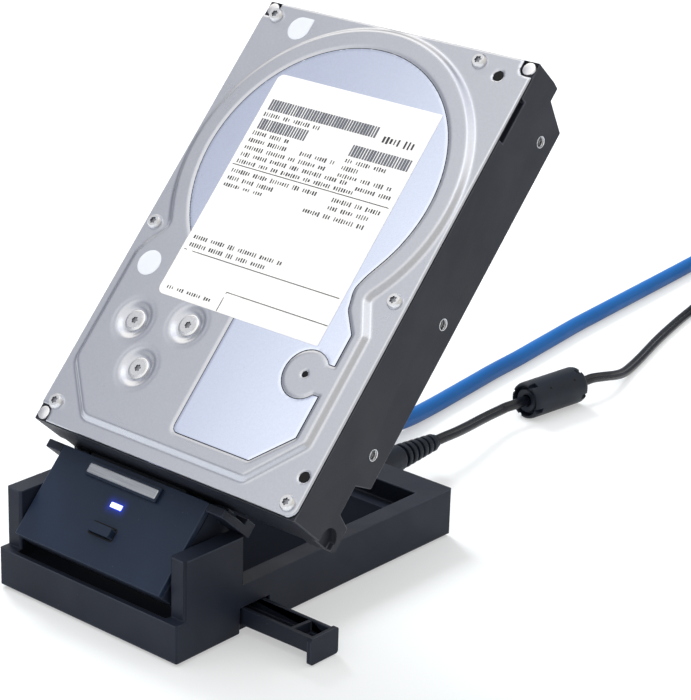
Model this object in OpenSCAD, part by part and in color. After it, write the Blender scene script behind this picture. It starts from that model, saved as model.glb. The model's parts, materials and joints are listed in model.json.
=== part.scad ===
// Tilting hard drive docking station with one drive docked.
// X to the right, Y to the back, Z up. Origin: on the table, under the middle of the front foot strip.
// A second frame leans back with the drive: x as above, v along the drive, w through its thickness.

/* [Base] */
// Width of the base
base_w = 72.4; // [70:0.2:78]
// Length of the base, front to back
base_l = 120; // [112:1:140]
// Height of the side rails over the underside
rail_h = 15.1; // [14.6:0.1:18]
// Width of each side rail
rail_w = 6; // [5:0.1:8]
// Depth of the socket bar across the back
back_bar = 10.6; // [9.6:0.1:14]
// Height of the front wall
front_wall_h = 11.7; // [10:0.1:12.4]
// Thickness of the front wall
front_wall_t = 1.8; // [1.4:0.1:2]
// How far the posts stand behind the front
post_setback = 3.2; // [2.2:0.1:5]
// Distance from the front to the back of the posts
post_back = 26.9; // [24:0.1:28]
// Thickness of each post
post_t = 5.8; // [5:0.1:6]
// Radius of the upright corners of the base
corner_r = 0.6; // [0.5:0.1:3]
// Wall thickness of the base
wall = 1.8; // [1.4:0.1:2.2]
// Height of the well's floor over the underside
floor_h = 8.9; // [8.6:0.1:9.2]
// Thickness of the well's floor
floor_t = 1; // [0.8:0.1:1.2]
// Thickness of the bottom cover
cover_t = 1.6; // [1.2:0.1:1.8]
// How far the feet stand proud of the underside
foot_h = 1; // [0.6:0.1:2]
// Depth of each foot's recess
foot_seat = 0.6; // [0.3:0.1:0.8]
// Width of a foot strip
foot_w = 52; // [30:1:56]
// Depth of a foot strip, front to back
foot_d = 8; // [5:0.5:10]
// Distance of the foot strips from the ends of the base
foot_inset = 12; // [8:0.5:20]

/* [Cradle] */
// How far the docked drive leans back, in degrees
lean = 42.5; // [36:0.5:46]
// Width of the cradle between the posts
cradle_w = 58.6; // [56:0.1:59.6]
// Height of the front panel along its slope
face_h = 29.5; // [28:0.1:31]
// Depth of the cradle, front to back
cradle_depth = 15; // [14:0.1:17]
// Thickness of the front panel
panel_t = 2; // [1.6:0.1:2.4]
// Wall thickness of the cradle
shell_t = 1.6; // [1.2:0.1:1.8]
// Distance from the base's front to the tilt axis
pivot_back = 14; // [13.6:0.1:15]
// Height of the tilt axis over the underside
pivot_h = 20; // [19.8:0.1:22]
// Distance from the panel's face to the tilt axis
pivot_from_face = 9.6; // [9:0.1:10]
// Distance from the cradle's lower edge to the tilt axis
pivot_from_bottom = 10.6; // [10:0.1:11]
// Diameter of the hinge pins
pin_d = 4; // [3:0.1:5]
// How far a pin goes into the cradle
pin_reach = 4; // [3:0.1:5]
// Width of the flange that carries the drive
flange_w = 71.2; // [66:0.2:72]
// Thickness of the flange
flange_t = 2.6; // [2:0.1:3.2]
// Height of the rests on the flange
rest_h = 1.8; // [1.2:0.1:2.4]
// Height of the back fence over the flange
fence_h = 18; // [8:0.5:26]
// Width of the back fence
fence_w = 50; // [30:1:56]
// Thickness of the back fence
fence_t = 1.85; // [1.4:0.05:2]

/* [Button and light] */
// Width of the power button
button_w = 8.6; // [6:0.1:12]
// Height of the power button
button_h = 2.9; // [2.4:0.1:4]
// How far the button stands proud
button_proud = 2; // [1:0.1:3]
// Distance from the panel's top edge to the middle of the button
button_drop = 19; // [17:0.1:20]
// Travel of the button
button_travel = 0.6; // [0.3:0.1:0.8]
// Width of the light window
light_w = 4.5; // [3:0.1:8]
// Height of the light window
light_h = 1.6; // [1.2:0.1:2.4]
// Distance from the panel's top edge to the middle of the light
light_drop = 11; // [9:0.1:12]
// Width of the raised bare badge bar
badge_w = 29; // [20:0.5:40]
// Height of the badge bar
badge_h = 4.4; // [3:0.1:5]
// How far the badge bar stands proud
badge_proud = 1.1; // [0.5:0.1:1.6]
// Distance from the panel's top edge to the middle of the badge bar
badge_drop = 3.7; // [3:0.1:5]

/* [Outrigger] */
// Distance from the base's front to the middle of the arm
arm_y = 31.6; // [30:0.1:36]
// Width of the arm
arm_w = 9.4; // [8:0.1:11]
// Height of the arm
arm_h = 5.2; // [4.4:0.1:5.3]
// Length of the arm without its end plate
arm_l = 48; // [42:0.5:52]
// Travel of the arm
arm_travel = 26.5; // [20:0.5:30]
// Wall thickness of the arm
arm_wall = 1.2; // [1:0.1:1.6]
// Height of the arm's bottom over the underside
arm_lift = 2.4; // [2:0.1:2.5]
// Width of the end plate
plate_w = 11.6; // [10.6:0.1:14]
// Thickness of the end plate
plate_t = 1.5; // [1.2:0.1:1.7]
// Gap under the end plate, over the table
plate_gap = 0.5; // [0.2:0.1:0.6]

/* [Drive] */
// Width of the drive
drive_w = 101.6; // [100:0.2:102]
// Length of the drive
drive_l = 147; // [140:1:150]
// Thickness of the drive
drive_h = 26.1; // [25.5:0.1:27]
// Sheet thickness of the drive's cover
sheet_t = 0.9; // [0.6:0.1:1.2]
// Height of the cover's raised panel over its rim
plateau_h = 1.7; // [1:0.1:2]
// Distance from the drive's middle to the middle of its connector
plug_offset = 20.68; // [20:0.02:21]
// Distance from the base's middle line to the middle of the connector
sata_x = -4.8; // [-6:0.1:-4]
// Diameter of the disc chamber in the casting
chamber_d = 96; // [90:1:97]
// Distance from the platter ridge on the cover to the drive's sides
ridge_margin = 1.2; // [1:0.1:3]
// Diameter of the cover screws' heads
cover_screw_d = 5.6; // [4:0.1:5.8]

/* [Cords] */
// Diameter of the data cable
usb_d = 5.8; // [5.6:0.1:5.8]
// Diameter of the power lead
dc_d = 3.6; // [3.4:0.1:3.6]
// Diameter of the ferrite sleeve
ferrite_d = 13; // [11:0.5:15]
// Length of the ferrite sleeve
ferrite_l = 36; // [30:1:36]
// Turns in the data cable's coil
usb_turns = 3.25; // [3.25]
// Turns in the power lead's coil
dc_turns = 7.25; // [7.25]
// Radius of the middle of the data cable's turns
usb_coil_r = 32; // [30:0.5:33]
// Radius of the middle of the power lead's turns
dc_coil_r = 20; // [19:0.5:21]
// Gap between neighbouring turns
turn_gap = 0.6; // [0.5:0.1:0.8]
// Thickness of the coil ties
tie_t = 0.8; // [0.6:0.1:1]

/* [Hidden] */
$fn = 48;

// Small overlap that keeps cuts clean, and how far a through cut runs on
eps = 0.01;
overrun = 1;
// Clearance of seated pieces, of moving pieces and of the hinge pins
fit_gap = 0.1;
slide_gap = 0.3;
pin_gap = 0.05;
stop_gap = 0.15;

// Places of the base
y_front = -foot_inset;
y_back = y_front + base_l;
y_mid = y_front + base_l / 2;
z_under = foot_h;
z_cover = z_under + cover_t;
z_floor = z_under + floor_h;
z_ceiling = z_floor - floor_t;
z_rail = z_under + rail_h;
bay_half = base_w / 2 - wall;
boss_d = 6;
boss_margin = 1;
boss_x = bay_half - boss_d / 2 - boss_margin;
boss_front = 8;
boss_rear = 16;
boss_spots = [for (s = [-1, 1]) for (y = [y_front + boss_front, y_back - boss_rear]) [s * boss_x, y]];
screw_d = 2.4;
screw_head_d = 4.6;
screw_head_t = 0.9;
screw_l = 5.6;
post_r = 0.8;
bar_roof = 1.5;
foot_r = foot_d / 2 - 0.5;
cover_r_under = 1;

// Places of the leaning frame: w from the drive's mounting plane, v from its connector end
back_w = -fence_t - stop_gap;
face_w = cradle_depth + back_w;
panel_back_w = face_w - panel_t;
flange_top_v = -rest_h - fit_gap;
flange_under_v = flange_top_v - flange_t;
face_bottom_v = flange_top_v - face_h;
pivot_v = face_bottom_v + pivot_from_bottom;
pivot_w = face_w - pivot_from_face;
pivot_y = y_front + pivot_back;
pivot_z = z_under + pivot_h;
// The posts end where the flange comes to rest on their back edge
post_h = pivot_h + (flange_under_v - pivot_v - stop_gap - (post_back - pivot_back) * sin(lean)) / cos(lean);
posts_inner = base_w / 2 - post_t;
pin_skin = 1.5;
pin_boss = 2;
pin_cap = 1;
toe_v = 6.4;
toe_w = 6;
// Share of the wall thickness by which the inner toe line moves in along the outline
toe_draw = 0.4;
// Rests that carry the drive: a square one at each back corner of the flange and an oblong one beside it
corner_rest = 4.4;
side_rest = [5, 2.8];
side_rest_in = 5;
side_rest_w = 3;
light_v = flange_top_v - light_drop;
button_v = flange_top_v - button_drop;
badge_v = flange_top_v - badge_drop;
badge_x = -1.8;
button_r = 0.4;
light_r = 0.15;
light_proud = 0.05;
light_chip_size = [3.2, 1.5];
light_chip_t = 1.3;

// Connector between cradle and drive
sata_w = 4;
receptacle_l = 38.6;
receptacle_t = 5;
receptacle_top = 4.6;
receptacle_foot = 8.4;
tongue_t = 1.2;
tongue_reach = 0.8;
signal_l = 10;
power_l = 20;
tongue_gap = 2.6;
key_h = 1.2;
plug_depth = 11.6;
plug_mouth = 7;
plug_wall = 2.6;
board_t = 1.6;
board_half = 20.5;
board_foot = 4.2;
board_foot_v = face_bottom_v + board_foot;
board_face_w = sata_w + board_t / 2;
panel_boss_d = 4.4;
panel_boss_in = 3.2;
panel_boss_drop = 8.6;
panel_boss_x = cradle_w / 2 - shell_t - panel_boss_in;
panel_boss_v = flange_under_v - panel_boss_drop;

// Switch behind the button
switch_side = 6;
switch_t = 3.4;
switch_r = 0.4;
switch_floor = 1.4;
plunger_d = 3.2;
cap_lip = 0.8;
cap_lip_t = 1;

// Main board and sockets
pcb_t = 1.2;
pcb_lift = 1;
pcb_half = 25;
pcb_front = 44;
pcb_end_gap = 1.5;
pcb_l = base_l - wall - pcb_end_gap - pcb_front;
standoff_d = 5;
standoff_in = 5;
standoff_front = 6;
standoff_rear = 22;
// Chips on the main board: place as a share of the board, then side and height as a share of the largest
chip_side = 10;
chips = [
    [-0.32, 0.2, 1, 0.12], [0.36, 0.25, 0.7, 0.12], [-0.56, 0.46, 0.5, 0.16], [0.24, 0.5, 0.6, 0.22],
    [0.56, 0.6, 0.5, 0.22]
];
z_pcb = z_cover + pcb_lift;
z_pcb_top = z_pcb + pcb_t;
dc_x = -0.5;
dc_w = 9;
dc_depth = 8.6;
jack_roof_gap = 0.4;
dc_jack_h = rail_h - bar_roof - (z_pcb_top - z_under) - jack_roof_gap;
dc_z = z_pcb_top + dc_jack_h / 2;
dc_bore_d = 6.4;
dc_back_t = 1.2;
dc_pin_d = 2;
dc_pin_in = 1;
barrel_d = 5.5;
barrel_bore = dc_pin_d + 0.6;
barrel_l = 7.4;
usb_x = -26;
usb_sock = [7.7, 9.2, 4];
usb_z = z_pcb_top + usb_sock[2] / 2;
sock_skin = 0.5;
sock_back_t = 1.5;
sock_tongue = [4.4, 0.8];
sock_tongue_in = 1;
sock_inset = 0.2;

// Outrigger
z_arm = z_under + arm_lift;
plate_x = base_w / 2 + arm_travel - plate_t;
plate_top = z_arm + arm_h;
plate_h = plate_top - plate_gap;
arm_end = plate_x - arm_l;
plate_r = 0.9;
lug = 1;
lug_l = 3;
lug_drop = 1.4;
stop_in = 4.6;
stop_x = bay_half - stop_in;
track_t = 1.2;
track_drop = 1;
track_start = arm_end - arm_travel - 1;
// Cross rib of the arm: how far inside the plate it stands and how far its edge lies under the arm's
rib_in = 8;
rib_drop = 0.3;

// Drive
drive_x = sata_x + plug_offset - drive_w / 2;
rim_top = drive_h - plateau_h;
casting_top = rim_top - sheet_t;
rail_span = 9;
belly_w = 5;
end_gap = 1.4;
side_hole_v = [28.5, 70.1, 130.1];
side_hole_w = 6.35;
side_hole_d = 3.5;
side_hole_depth = 4;
base_hole_v = [41.28, 85.73];
base_hole_in = 3.18;
// Lower corner of the casting's rails and the arched pocket over it
tip_w = 1;
tip_r = 1.2;
arch_r = 3.4;
arch_v = 2.1;
arch_w = 6.4;
arch_depth = 2;
// Hollow under the cover: height of its floor over the belly, round the discs and beside them
chamber_lift = 4;
arm_bay = [28, 16];
arm_bay_side = 10;
arm_bay_lift = 6;
tapped_d = 2.4;
tapped_l = 5;
cover_inset = 0.3;
cover_r = 3;
// Places on the cover are shares of the drive's width and length
function on_cover(u, v) = [u * drive_w, v * drive_l];
function all_on_cover(spots) = [for (p = spots) on_cover(p[0], p[1])];
platter_end = 0.7;
platter = [drive_w / 2, drive_l - drive_w / 2 - platter_end];
ridge_r = drive_w / 2 - ridge_margin;
ridge_band = 7.7;
foil_t = 0.15;
foil_r = ridge_r - ridge_band;
label_t = 0.12;
label_spot = on_cover(0.4995, 0.5769);
label_size = on_cover(0.6093, 0.5122);
label_r = 2.2;
// The side screws sit in notches of the raised field, where the platter ridge has turned in
notch_share = 0.2756;
notch_v = platter[1] - notch_share * drive_w;
function by_notch(u, dv) = [u * drive_w, notch_v + dv];
screw_spots = concat(
    all_on_cover([[0.0561, 0.9592], [0.8159, 0.9633], [0.0531, 0.0456], [0.9596, 0.0265]]),
    [by_notch(0.0413, 0), by_notch(0.9547, -1)]
);
ring_spots = all_on_cover([[0.3563, 0.2782], [0.1703, 0.2524], [0.2707, 0.1639]]);
ring_d = 13;
ring_floor_d = 8;
ring_depth = 0.6;
ring_screw_d = 6.2;
hole_spots = all_on_cover([[0.8957, 0.9435], [0.9646, 0.0823]]);
hole_d = 2.8;
cover_screw_t = 1.6;
cover_shank_d = 2.2;
cover_shank_l = sheet_t + 4;
corner_seal = on_cover(0.1594, 0.9429);
side_seal = on_cover(0.1142, 0.3721);
corner_seal_r = 3.9;
side_seal_r = 4.05;
breather = on_cover(0.812, 0.2626);
breather_d = 1.6;
breather_r = 7.3;
breather_neck = 9.2;
// Outline of the cover's raised field below the platter ridge, anticlockwise from its lower left
field_outline = concat(
    all_on_cover([[0.0295, 0.1361], [0.1713, 0.0286], [0.7972, 0.0286], [0.9409, 0.1361]]),
    [for (p = [[0.9409, -13], [0.874, -1.1], [0.935, 8.5], [0.935, 22]]) by_notch(p[0], p[1])],
    [
        for (p = [[0.0591, 22], [0.0787, 6.5], [0.0945, 0.5], [0.0433, -7], [0.0295, -10.5]])
        by_notch(p[0], p[1])
    ]
);
// Outline of the bright sheet below the platter
sheet_outline = all_on_cover([
    [0.4921, 0.0844], [0.5138, 0.0707], [0.7835, 0.0707], [0.8898, 0.1429], [0.8898, 0.3626],
    [0.8376, 0.4068], [0.8209, 0.449], [0.8425, 0.4898], [0.8858, 0.5578], [0.4921, 0.5578]
]);
post_d = 4.2;
post_skin = 0.3;
post_notch = 0.5;
post_seat = casting_top - 3;
post_top = rim_top - 0.3;
post_in = post_d / 2 + fit_gap + post_skin;
post_far = drive_l - end_gap - post_in;
post_spots = [[post_in, post_far], [drive_w - post_in, post_far], [post_in, post_in]];
drive_board_t = 1.2;
drive_board_w = belly_w - drive_board_t;
board_margin = 15;
board_end = 2;
board_top = drive_l * 0.57;
board_screw_in = board_margin + 4;
board_screw_top = board_top - 5;
board_screw_spots = [
    [board_screw_in, board_screw_top], [drive_w - board_screw_in, board_screw_top],
    [drive_w - board_screw_in, 22], [board_screw_in, 30]
];
board_screw = [4.4, 0.9, 2.2, drive_board_t + 3.4];
board_hole_d = 2.6;
board_bore_l = 4;
plug_low = 0.8;
motor_d = 52;
motor_proud = 2.4;
motor_gap = 3;
// Pocket in the right side, under the cover near the far end
side_pocket = [3, 13.5, 2.1];
side_pocket_end = 13;

// Cord routes: hand-chosen points from the plug to the coil
plug_stand = 0.3;
usb_body = [10.6, 8.2, 20];
usb_body_r = 1.6;
usb_relief_d = 7.8;
usb_relief_end = 0.8;
usb_exit = [usb_x, y_back + 34, usb_z];
usb_relief_l = usb_exit[1] - y_back - plug_stand - usb_body[2];
usb_shell_gap = 0.8;
usb_shell_t = 0.4;
usb_shell_l = 6;
tie_gap = 0.2;
tie_slack = 0.6;
tie_w = 8;
tie_r = 1.2;
usb_coil_z = tie_t + tie_gap + usb_d / 2;
usb_rout = usb_coil_r + usb_turns / 4 * (usb_d + turn_gap);
usb_centre = [-57 + usb_rout, 434];
usb_entry = [-57, 434 - usb_d, usb_coil_z];
usb_route = [
    usb_exit, usb_exit + [0, 6, 0], [-26.5, 152, 5.4], [-28, 164, 3.7], [-30, 178, 3], [-32, 193, 2.9],
    [-34, 208, 2.9], [-36, 223, 2.9], [-37.5, 238, 2.9], [-39.5, 253, 2.9], [-41.5, 268, 2.9],
    [-43.5, 283, 2.9], [-45, 298, 2.9], [-46.5, 313, 2.9], [-48, 328, 2.9], [-49.5, 343, 2.9],
    [-51, 358, 2.9], [-52.5, 372, 2.9], [-54, 386, 2.9], [-55.6, 400, 3.1], [-56.7, 412, 3.5],
    [-57, 421, usb_coil_z], usb_entry
];
dc_exit = [dc_x, y_back + 37, dc_z];
dc_body_d = 9;
dc_body_l = 18;
dc_relief_d = 7;
dc_relief_end = 1;
dc_relief_l = dc_exit[1] - y_back - plug_stand - dc_body_l;
dc_ribs = 6;
dc_rib_d = 8.2;
dc_rib_taper = 0.45;
dc_rib_t = 1.6;
dc_rib_pitch = dc_relief_l / (dc_ribs + 0.5);
ferrite_turn = 6.6;
ferrite_mid = [-3.8, 213, ferrite_d / 2];
ferrite_dir = [sin(ferrite_turn), cos(ferrite_turn), 0];
ferrite_near = ferrite_mid - ferrite_l / 2 * ferrite_dir;
ferrite_far = ferrite_mid + ferrite_l / 2 * ferrite_dir;
ferrite_neck = 3;
ferrite_neck_d = 9;
ferrite_neck_end = 8;
dc_front_route = [
    dc_exit, dc_exit + [0, 5, 0], [-1.1, 157, 9], [-2.4, 165, 8.3], [-4, 173, 7.6], [-5.3, 181, 7],
    [-6.1, 188, 6.6], ferrite_near - 4 * ferrite_dir, ferrite_near
];
dc_coil_z = tie_t + tie_gap + dc_d / 2;
dc_rout = dc_coil_r + dc_turns / 4 * (dc_d + turn_gap);
dc_centre = [-27 + dc_rout, 362];
dc_entry = [-27, 362 - dc_d, dc_coil_z];
dc_rear_route = [
    ferrite_far, ferrite_far + 4 * ferrite_dir, [-0.9, 242, 5.3], [-1.3, 249, 3.7], [-2.6, 256, 2.4],
    [-4.8, 264, 1.9], [-7.4, 273, 1.8], [-10.2, 282, 1.8], [-13, 291, 1.8], [-15.6, 300, 1.8],
    [-18, 309, 1.8], [-20.3, 318, 1.8], [-22.4, 327, 1.8], [-24.3, 335, 1.8], [-25.8, 342, 2],
    [-26.8, 349, 2.4], [-27, 354, dc_coil_z], dc_entry
];
tube_sides = 8;
coil_sides = 6;
rings_per_turn = 24;
tail_rings = 10;
usb_tail = 44;
dc_tail = 44;
usb_tail_z = 4.6;
dc_tail_z = 7;

module round_rect(size_x, size_y, r) {
    square([size_x - 2 * r, size_y], center = true);
    square([size_x, size_y - 2 * r], center = true);
    for (x = [-1, 1]) for (y = [-1, 1]) {
        translate([x * (size_x / 2 - r), y * (size_y / 2 - r)]) circle(r);
    }
}

// Extrudes a (v, w) outline along x, about the middle plane
module along_x(length) {
    rotate([90, 0, 90]) linear_extrude(length, center = true) children();
}

// Puts children drawn in (x, v, w) where the leaning cradle is
module in_cradle() {
    translate([0, pivot_y, pivot_z]) rotate([90 - lean, 0, 0]) translate([0, -pivot_v, -pivot_w]) children();
}

// Puts children drawn from the drive's own left lower corner on the cradle
module in_drive() {
    in_cradle() translate([drive_x, 0, 0]) children();
}

module box(low, high) {
    translate(low) cube(high - low);
}

// Screw with its head's underside at the origin, pointing along -Z
module screw(head_d, head_t, shank_d, shank_l) {
    cylinder(d = head_d, h = head_t);
    translate([0, 0, -shank_l]) cylinder(d = shank_d, h = shank_l + eps);
}

module outrigger_cut() {
    half = plate_w / 2 + slide_gap;
    y = y_front + arm_y;
    box([bay_half - eps, y - half, z_under - eps], [base_w / 2 + eps, y + half, plate_top + slide_gap]);
}

module socket_cuts() {
    y = y_back - wall;
    g = fit_gap;
    box(
        [dc_x - dc_w / 2 - g, y - eps, z_pcb_top - g],
        [dc_x + dc_w / 2 + g, y_back + eps, z_pcb_top + dc_jack_h + g]
    );
    box(
        [usb_x - usb_sock[0] / 2 - g, y - eps, z_pcb_top - g],
        [usb_x + usb_sock[0] / 2 + g, y_back + eps, z_pcb_top + usb_sock[2] + g]
    );
}

module posts() {
    for (s = [-1, 1]) {
        x = s * (base_w / 2 - post_t / 2);
        y = y_front + (post_setback + post_back) / 2;
        translate([x, y, z_ceiling]) linear_extrude(z_under + post_h - z_ceiling) {
            round_rect(post_t, post_back - post_setback, post_r);
        }
    }
}

module base_shell() {
    well_half = base_w / 2 - rail_w;
    color("#2a2c31") difference() {
        union() {
            difference() {
                translate([0, y_mid, z_under]) linear_extrude(rail_h) round_rect(base_w, base_l, corner_r);
                box(
                    [-base_w, y_front - eps, z_under + front_wall_h],
                    [base_w, y_front + post_setback + overrun, z_rail + eps]
                );
                box(
                    [-well_half, y_front + post_back - eps, z_floor],
                    [well_half, y_back - back_bar, z_rail + eps]
                );
                box(
                    [-posts_inner, y_front + front_wall_t, z_floor],
                    [posts_inner, y_front + post_back, z_rail + eps]
                );
                box([-bay_half, y_front + wall, z_under - eps], [bay_half, y_back - wall, z_ceiling]);
                box(
                    [-bay_half, y_back - back_bar + bar_roof, z_ceiling - eps],
                    [bay_half, y_back - wall, z_rail - bar_roof]
                );
            }
            posts();
            for (p = boss_spots) {
                translate([p[0], p[1], z_cover]) cylinder(d = boss_d, h = z_floor - z_cover - floor_t / 2);
            }
        }
        for (s = [-1, 1]) translate([s * (base_w / 2 - pin_skin), pivot_y, pivot_z]) {
            rotate([0, -s * 90, 0]) cylinder(d = pin_d, h = post_t);
        }
        for (p = boss_spots) translate([p[0], p[1], z_cover - eps]) cylinder(d = screw_d, h = screw_l);
        outrigger_cut();
        socket_cuts();
    }
}

module foot_shape(gap) {
    for (y = [0, base_l - 2 * foot_inset]) {
        translate([0, y]) round_rect(foot_w + 2 * gap, foot_d + 2 * gap, foot_r);
    }
}

module outrigger_track() {
    y = y_front + arm_y;
    lane = arm_w / 2 + lug + slide_gap;
    stop_mid = (lane + arm_w / 2 + slide_gap) / 2;
    end_x = bay_half - 2 * fit_gap;
    for (s = [-1, 1]) {
        translate([(track_start + bay_half) / 2 - fit_gap, y + s * (lane + track_t / 2), z_cover - eps]) {
            linear_extrude(arm_lift + arm_h - cover_t - track_drop) {
                square([bay_half - track_start - 2 * fit_gap, track_t], center = true);
            }
        }
        box(
            [stop_x, y + s * stop_mid - (lug + eps) / 2, z_cover - eps],
            [end_x, y + s * stop_mid + (lug + eps) / 2, z_arm + arm_h - track_drop]
        );
        box(
            [track_start, y + s * arm_w / 4 - track_t / 2, z_cover - eps],
            [end_x, y + s * arm_w / 4 + track_t / 2, z_arm - slide_gap]
        );
    }
}

module base_bottom_cover() {
    color("#222428") difference() {
        union() {
            translate([0, y_mid, z_under]) linear_extrude(cover_t) {
                round_rect(2 * (bay_half - fit_gap), base_l - 2 * (wall + fit_gap), cover_r_under);
            }
            for (s = [-1, 1]) for (y = [y_front + pcb_front + standoff_front, y_back - standoff_rear]) {
                translate([s * (pcb_half - standoff_in), y, z_cover - eps]) {
                    cylinder(d = standoff_d, h = pcb_lift + eps);
                }
            }
            outrigger_track();
        }
        translate([0, 0, z_under - eps]) linear_extrude(foot_seat + eps) foot_shape(fit_gap);
        for (p = boss_spots) translate([p[0], p[1], z_under - eps]) {
            cylinder(d = screw_d + 2 * fit_gap, h = cover_t + overrun);
            cylinder(d = screw_head_d + 2 * fit_gap, h = screw_head_t + eps);
        }
    }
}

module rubber_feet() {
    color("#141414") linear_extrude(foot_h + foot_seat) foot_shape(0);
}

module base_screws() {
    color("#b9bbbf") for (p = boss_spots) {
        translate([p[0], p[1], z_under + screw_head_t]) rotate([180, 0, 0]) {
            screw(screw_head_d, screw_head_t, screw_d, screw_l);
        }
    }
}

module main_pcb() {
    color("#1f5a34") box(
        [-pcb_half, y_front + pcb_front, z_pcb],
        [pcb_half, y_front + pcb_front + pcb_l, z_pcb_top]
    );
}

module bridge_chips() {
    color("#1b1b1d") {
        for (c = chips) translate([c[0] * pcb_half, y_front + pcb_front + c[1] * pcb_l, z_pcb_top]) {
            linear_extrude(c[3] * chip_side) square(c[2] * chip_side, center = true);
        }
    }
}

module dc_jack() {
    y = y_back - sock_inset;
    color("#18191b") difference() {
        box([dc_x - dc_w / 2, y - dc_depth, z_pcb_top], [dc_x + dc_w / 2, y, z_pcb_top + dc_jack_h]);
        translate([dc_x, y + eps, dc_z]) rotate([90, 0, 0]) difference() {
            cylinder(d = dc_bore_d, h = dc_depth - dc_back_t);
            translate([0, 0, dc_pin_in]) cylinder(d = dc_pin_d, h = dc_depth);
        }
    }
}

module usb_socket() {
    y = y_back - sock_inset;
    half = usb_sock[0] / 2;
    color("#c9cbce") difference() {
        box([usb_x - half, y - usb_sock[1], z_pcb_top], [usb_x + half, y, z_pcb_top + usb_sock[2]]);
        difference() {
            box(
                [usb_x - half + sock_skin, y - usb_sock[1] + sock_back_t, z_pcb_top + sock_skin],
                [usb_x + half - sock_skin, y + eps, z_pcb_top + usb_sock[2] - sock_skin]
            );
            box(
                [usb_x - sock_tongue[0] / 2, y - usb_sock[1], usb_z - sock_tongue[1] / 2],
                [usb_x + sock_tongue[0] / 2, y - sock_tongue_in, usb_z + sock_tongue[1] / 2]
            );
        }
    }
}

module hinge_pins() {
    color("#c2c4c8") for (s = [-1, 1]) {
        x = s * (base_w / 2 - pin_skin);
        reach = base_w / 2 - pin_skin - cradle_w / 2 + pin_reach - slide_gap;
        translate([x, pivot_y, pivot_z]) rotate([0, -s * 90, 0]) cylinder(d = pin_d, h = reach);
    }
}

// Side outline of the cradle's box, drawn in by a wall thickness
module cradle_outline(inset) {
    low = face_bottom_v + inset;
    back = back_w + inset;
    polygon([
        [low, panel_back_w + inset], [low, back + toe_w - toe_draw * inset],
        [low + toe_v - toe_draw * inset, back], [flange_under_v + eps, back],
        [flange_under_v + eps, panel_back_w + inset]
    ]);
}

module flange() {
    box([-flange_w / 2, flange_under_v, back_w], [flange_w / 2, flange_top_v, face_w]);
    for (s = [-1, 1]) {
        end = s * (flange_w - corner_rest) / 2;
        side = end - s * side_rest_in;
        box(
            [end - corner_rest / 2, flange_top_v - eps, back_w],
            [end + corner_rest / 2, -fit_gap, back_w + corner_rest]
        );
        box(
            [side - side_rest[0] / 2, flange_top_v - eps, side_rest_w],
            [side + side_rest[0] / 2, -fit_gap, side_rest_w + side_rest[1]]
        );
    }
    box([-fence_w / 2, flange_top_v - eps, back_w], [fence_w / 2, flange_top_v + fence_h, -stop_gap]);
}

module cradle_shell() {
    color("#23262d") in_cradle() difference() {
        union() {
            difference() {
                along_x(cradle_w) cradle_outline(0);
                along_x(cradle_w - 2 * shell_t) cradle_outline(shell_t);
            }
            for (s = [-1, 1]) translate([s * cradle_w / 2, pivot_v, pivot_w]) {
                rotate([0, -s * 90, 0]) cylinder(d = pin_d + 2 * pin_boss, h = pin_reach + pin_cap);
            }
            flange();
        }
        for (s = [-1, 1]) translate([s * (cradle_w / 2 + eps), pivot_v, pivot_w]) {
            rotate([0, -s * 90, 0]) cylinder(d = pin_d + 2 * pin_gap, h = pin_reach);
        }
        for (s = [-1, 1]) translate([s * panel_boss_x, panel_boss_v, back_w - eps]) {
            cylinder(d = screw_d + 2 * fit_gap, h = shell_t + overrun);
        }
        box(
            [-cradle_w / 2 - fit_gap, face_bottom_v - overrun, panel_back_w],
            [cradle_w / 2 + fit_gap, flange_top_v + eps, face_w + eps]
        );
        translate([sata_x, flange_under_v - eps, sata_w]) rotate([-90, 0, 0]) {
            linear_extrude(flange_t + 2 * eps) {
                square([receptacle_l + 2 * fit_gap, receptacle_t + 2 * fit_gap], center = true);
            }
        }
    }
}

// A block that stands on the panel: its middle in (x, v), size, corner radius, and start and end in w
module on_panel(x, v, size, r, w0, w1) {
    translate([x, v, w0]) linear_extrude(w1 - w0) round_rect(size[0], size[1], r);
}

module cradle_front_panel() {
    color("#262b35") in_cradle() difference() {
        union() {
            box([-cradle_w / 2, face_bottom_v, panel_back_w], [cradle_w / 2, flange_top_v, face_w]);
            for (s = [-1, 1]) translate([s * panel_boss_x, panel_boss_v, back_w + shell_t]) {
                cylinder(d = panel_boss_d, h = panel_back_w - back_w - shell_t + eps);
            }
        }
        for (s = [-1, 1]) translate([s * panel_boss_x, panel_boss_v, back_w]) {
            cylinder(d = screw_d, h = screw_l + overrun);
        }
        g = 2 * fit_gap;
        low = panel_back_w - eps;
        on_panel(0, light_v, [light_w + g, light_h + g], light_r, low, face_w + eps);
        on_panel(0, button_v, [button_w + 2 * g, button_h + 2 * g], button_r, low, face_w + eps);
    }
}

module badge_bar() {
    color("#3a3e46") in_cradle() {
        on_panel(badge_x, badge_v, [badge_w, badge_h], button_r, face_w, face_w + badge_proud);
    }
}

module light_window() {
    low = board_face_w + light_chip_t + fit_gap;
    color("#dfe8ff") in_cradle() on_panel(0, light_v, [light_w, light_h], light_r, low, face_w + light_proud);
}

module light_chip() {
    color("#f2efe0") in_cradle() {
        on_panel(0, light_v, light_chip_size, light_r, board_face_w, board_face_w + light_chip_t);
    }
}

module cradle_pcb() {
    color("#1f5a34") in_cradle() box(
        [-board_half, board_foot_v, sata_w - board_t / 2],
        [board_half, -receptacle_foot, board_face_w]
    );
}

module tact_switch() {
    color("#202124") in_cradle() translate([0, button_v, board_face_w]) difference() {
        linear_extrude(switch_t) round_rect(switch_side, switch_side, switch_r);
        translate([0, 0, switch_floor]) cylinder(d = plunger_d + 2 * fit_gap, h = switch_t);
    }
}

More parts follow.
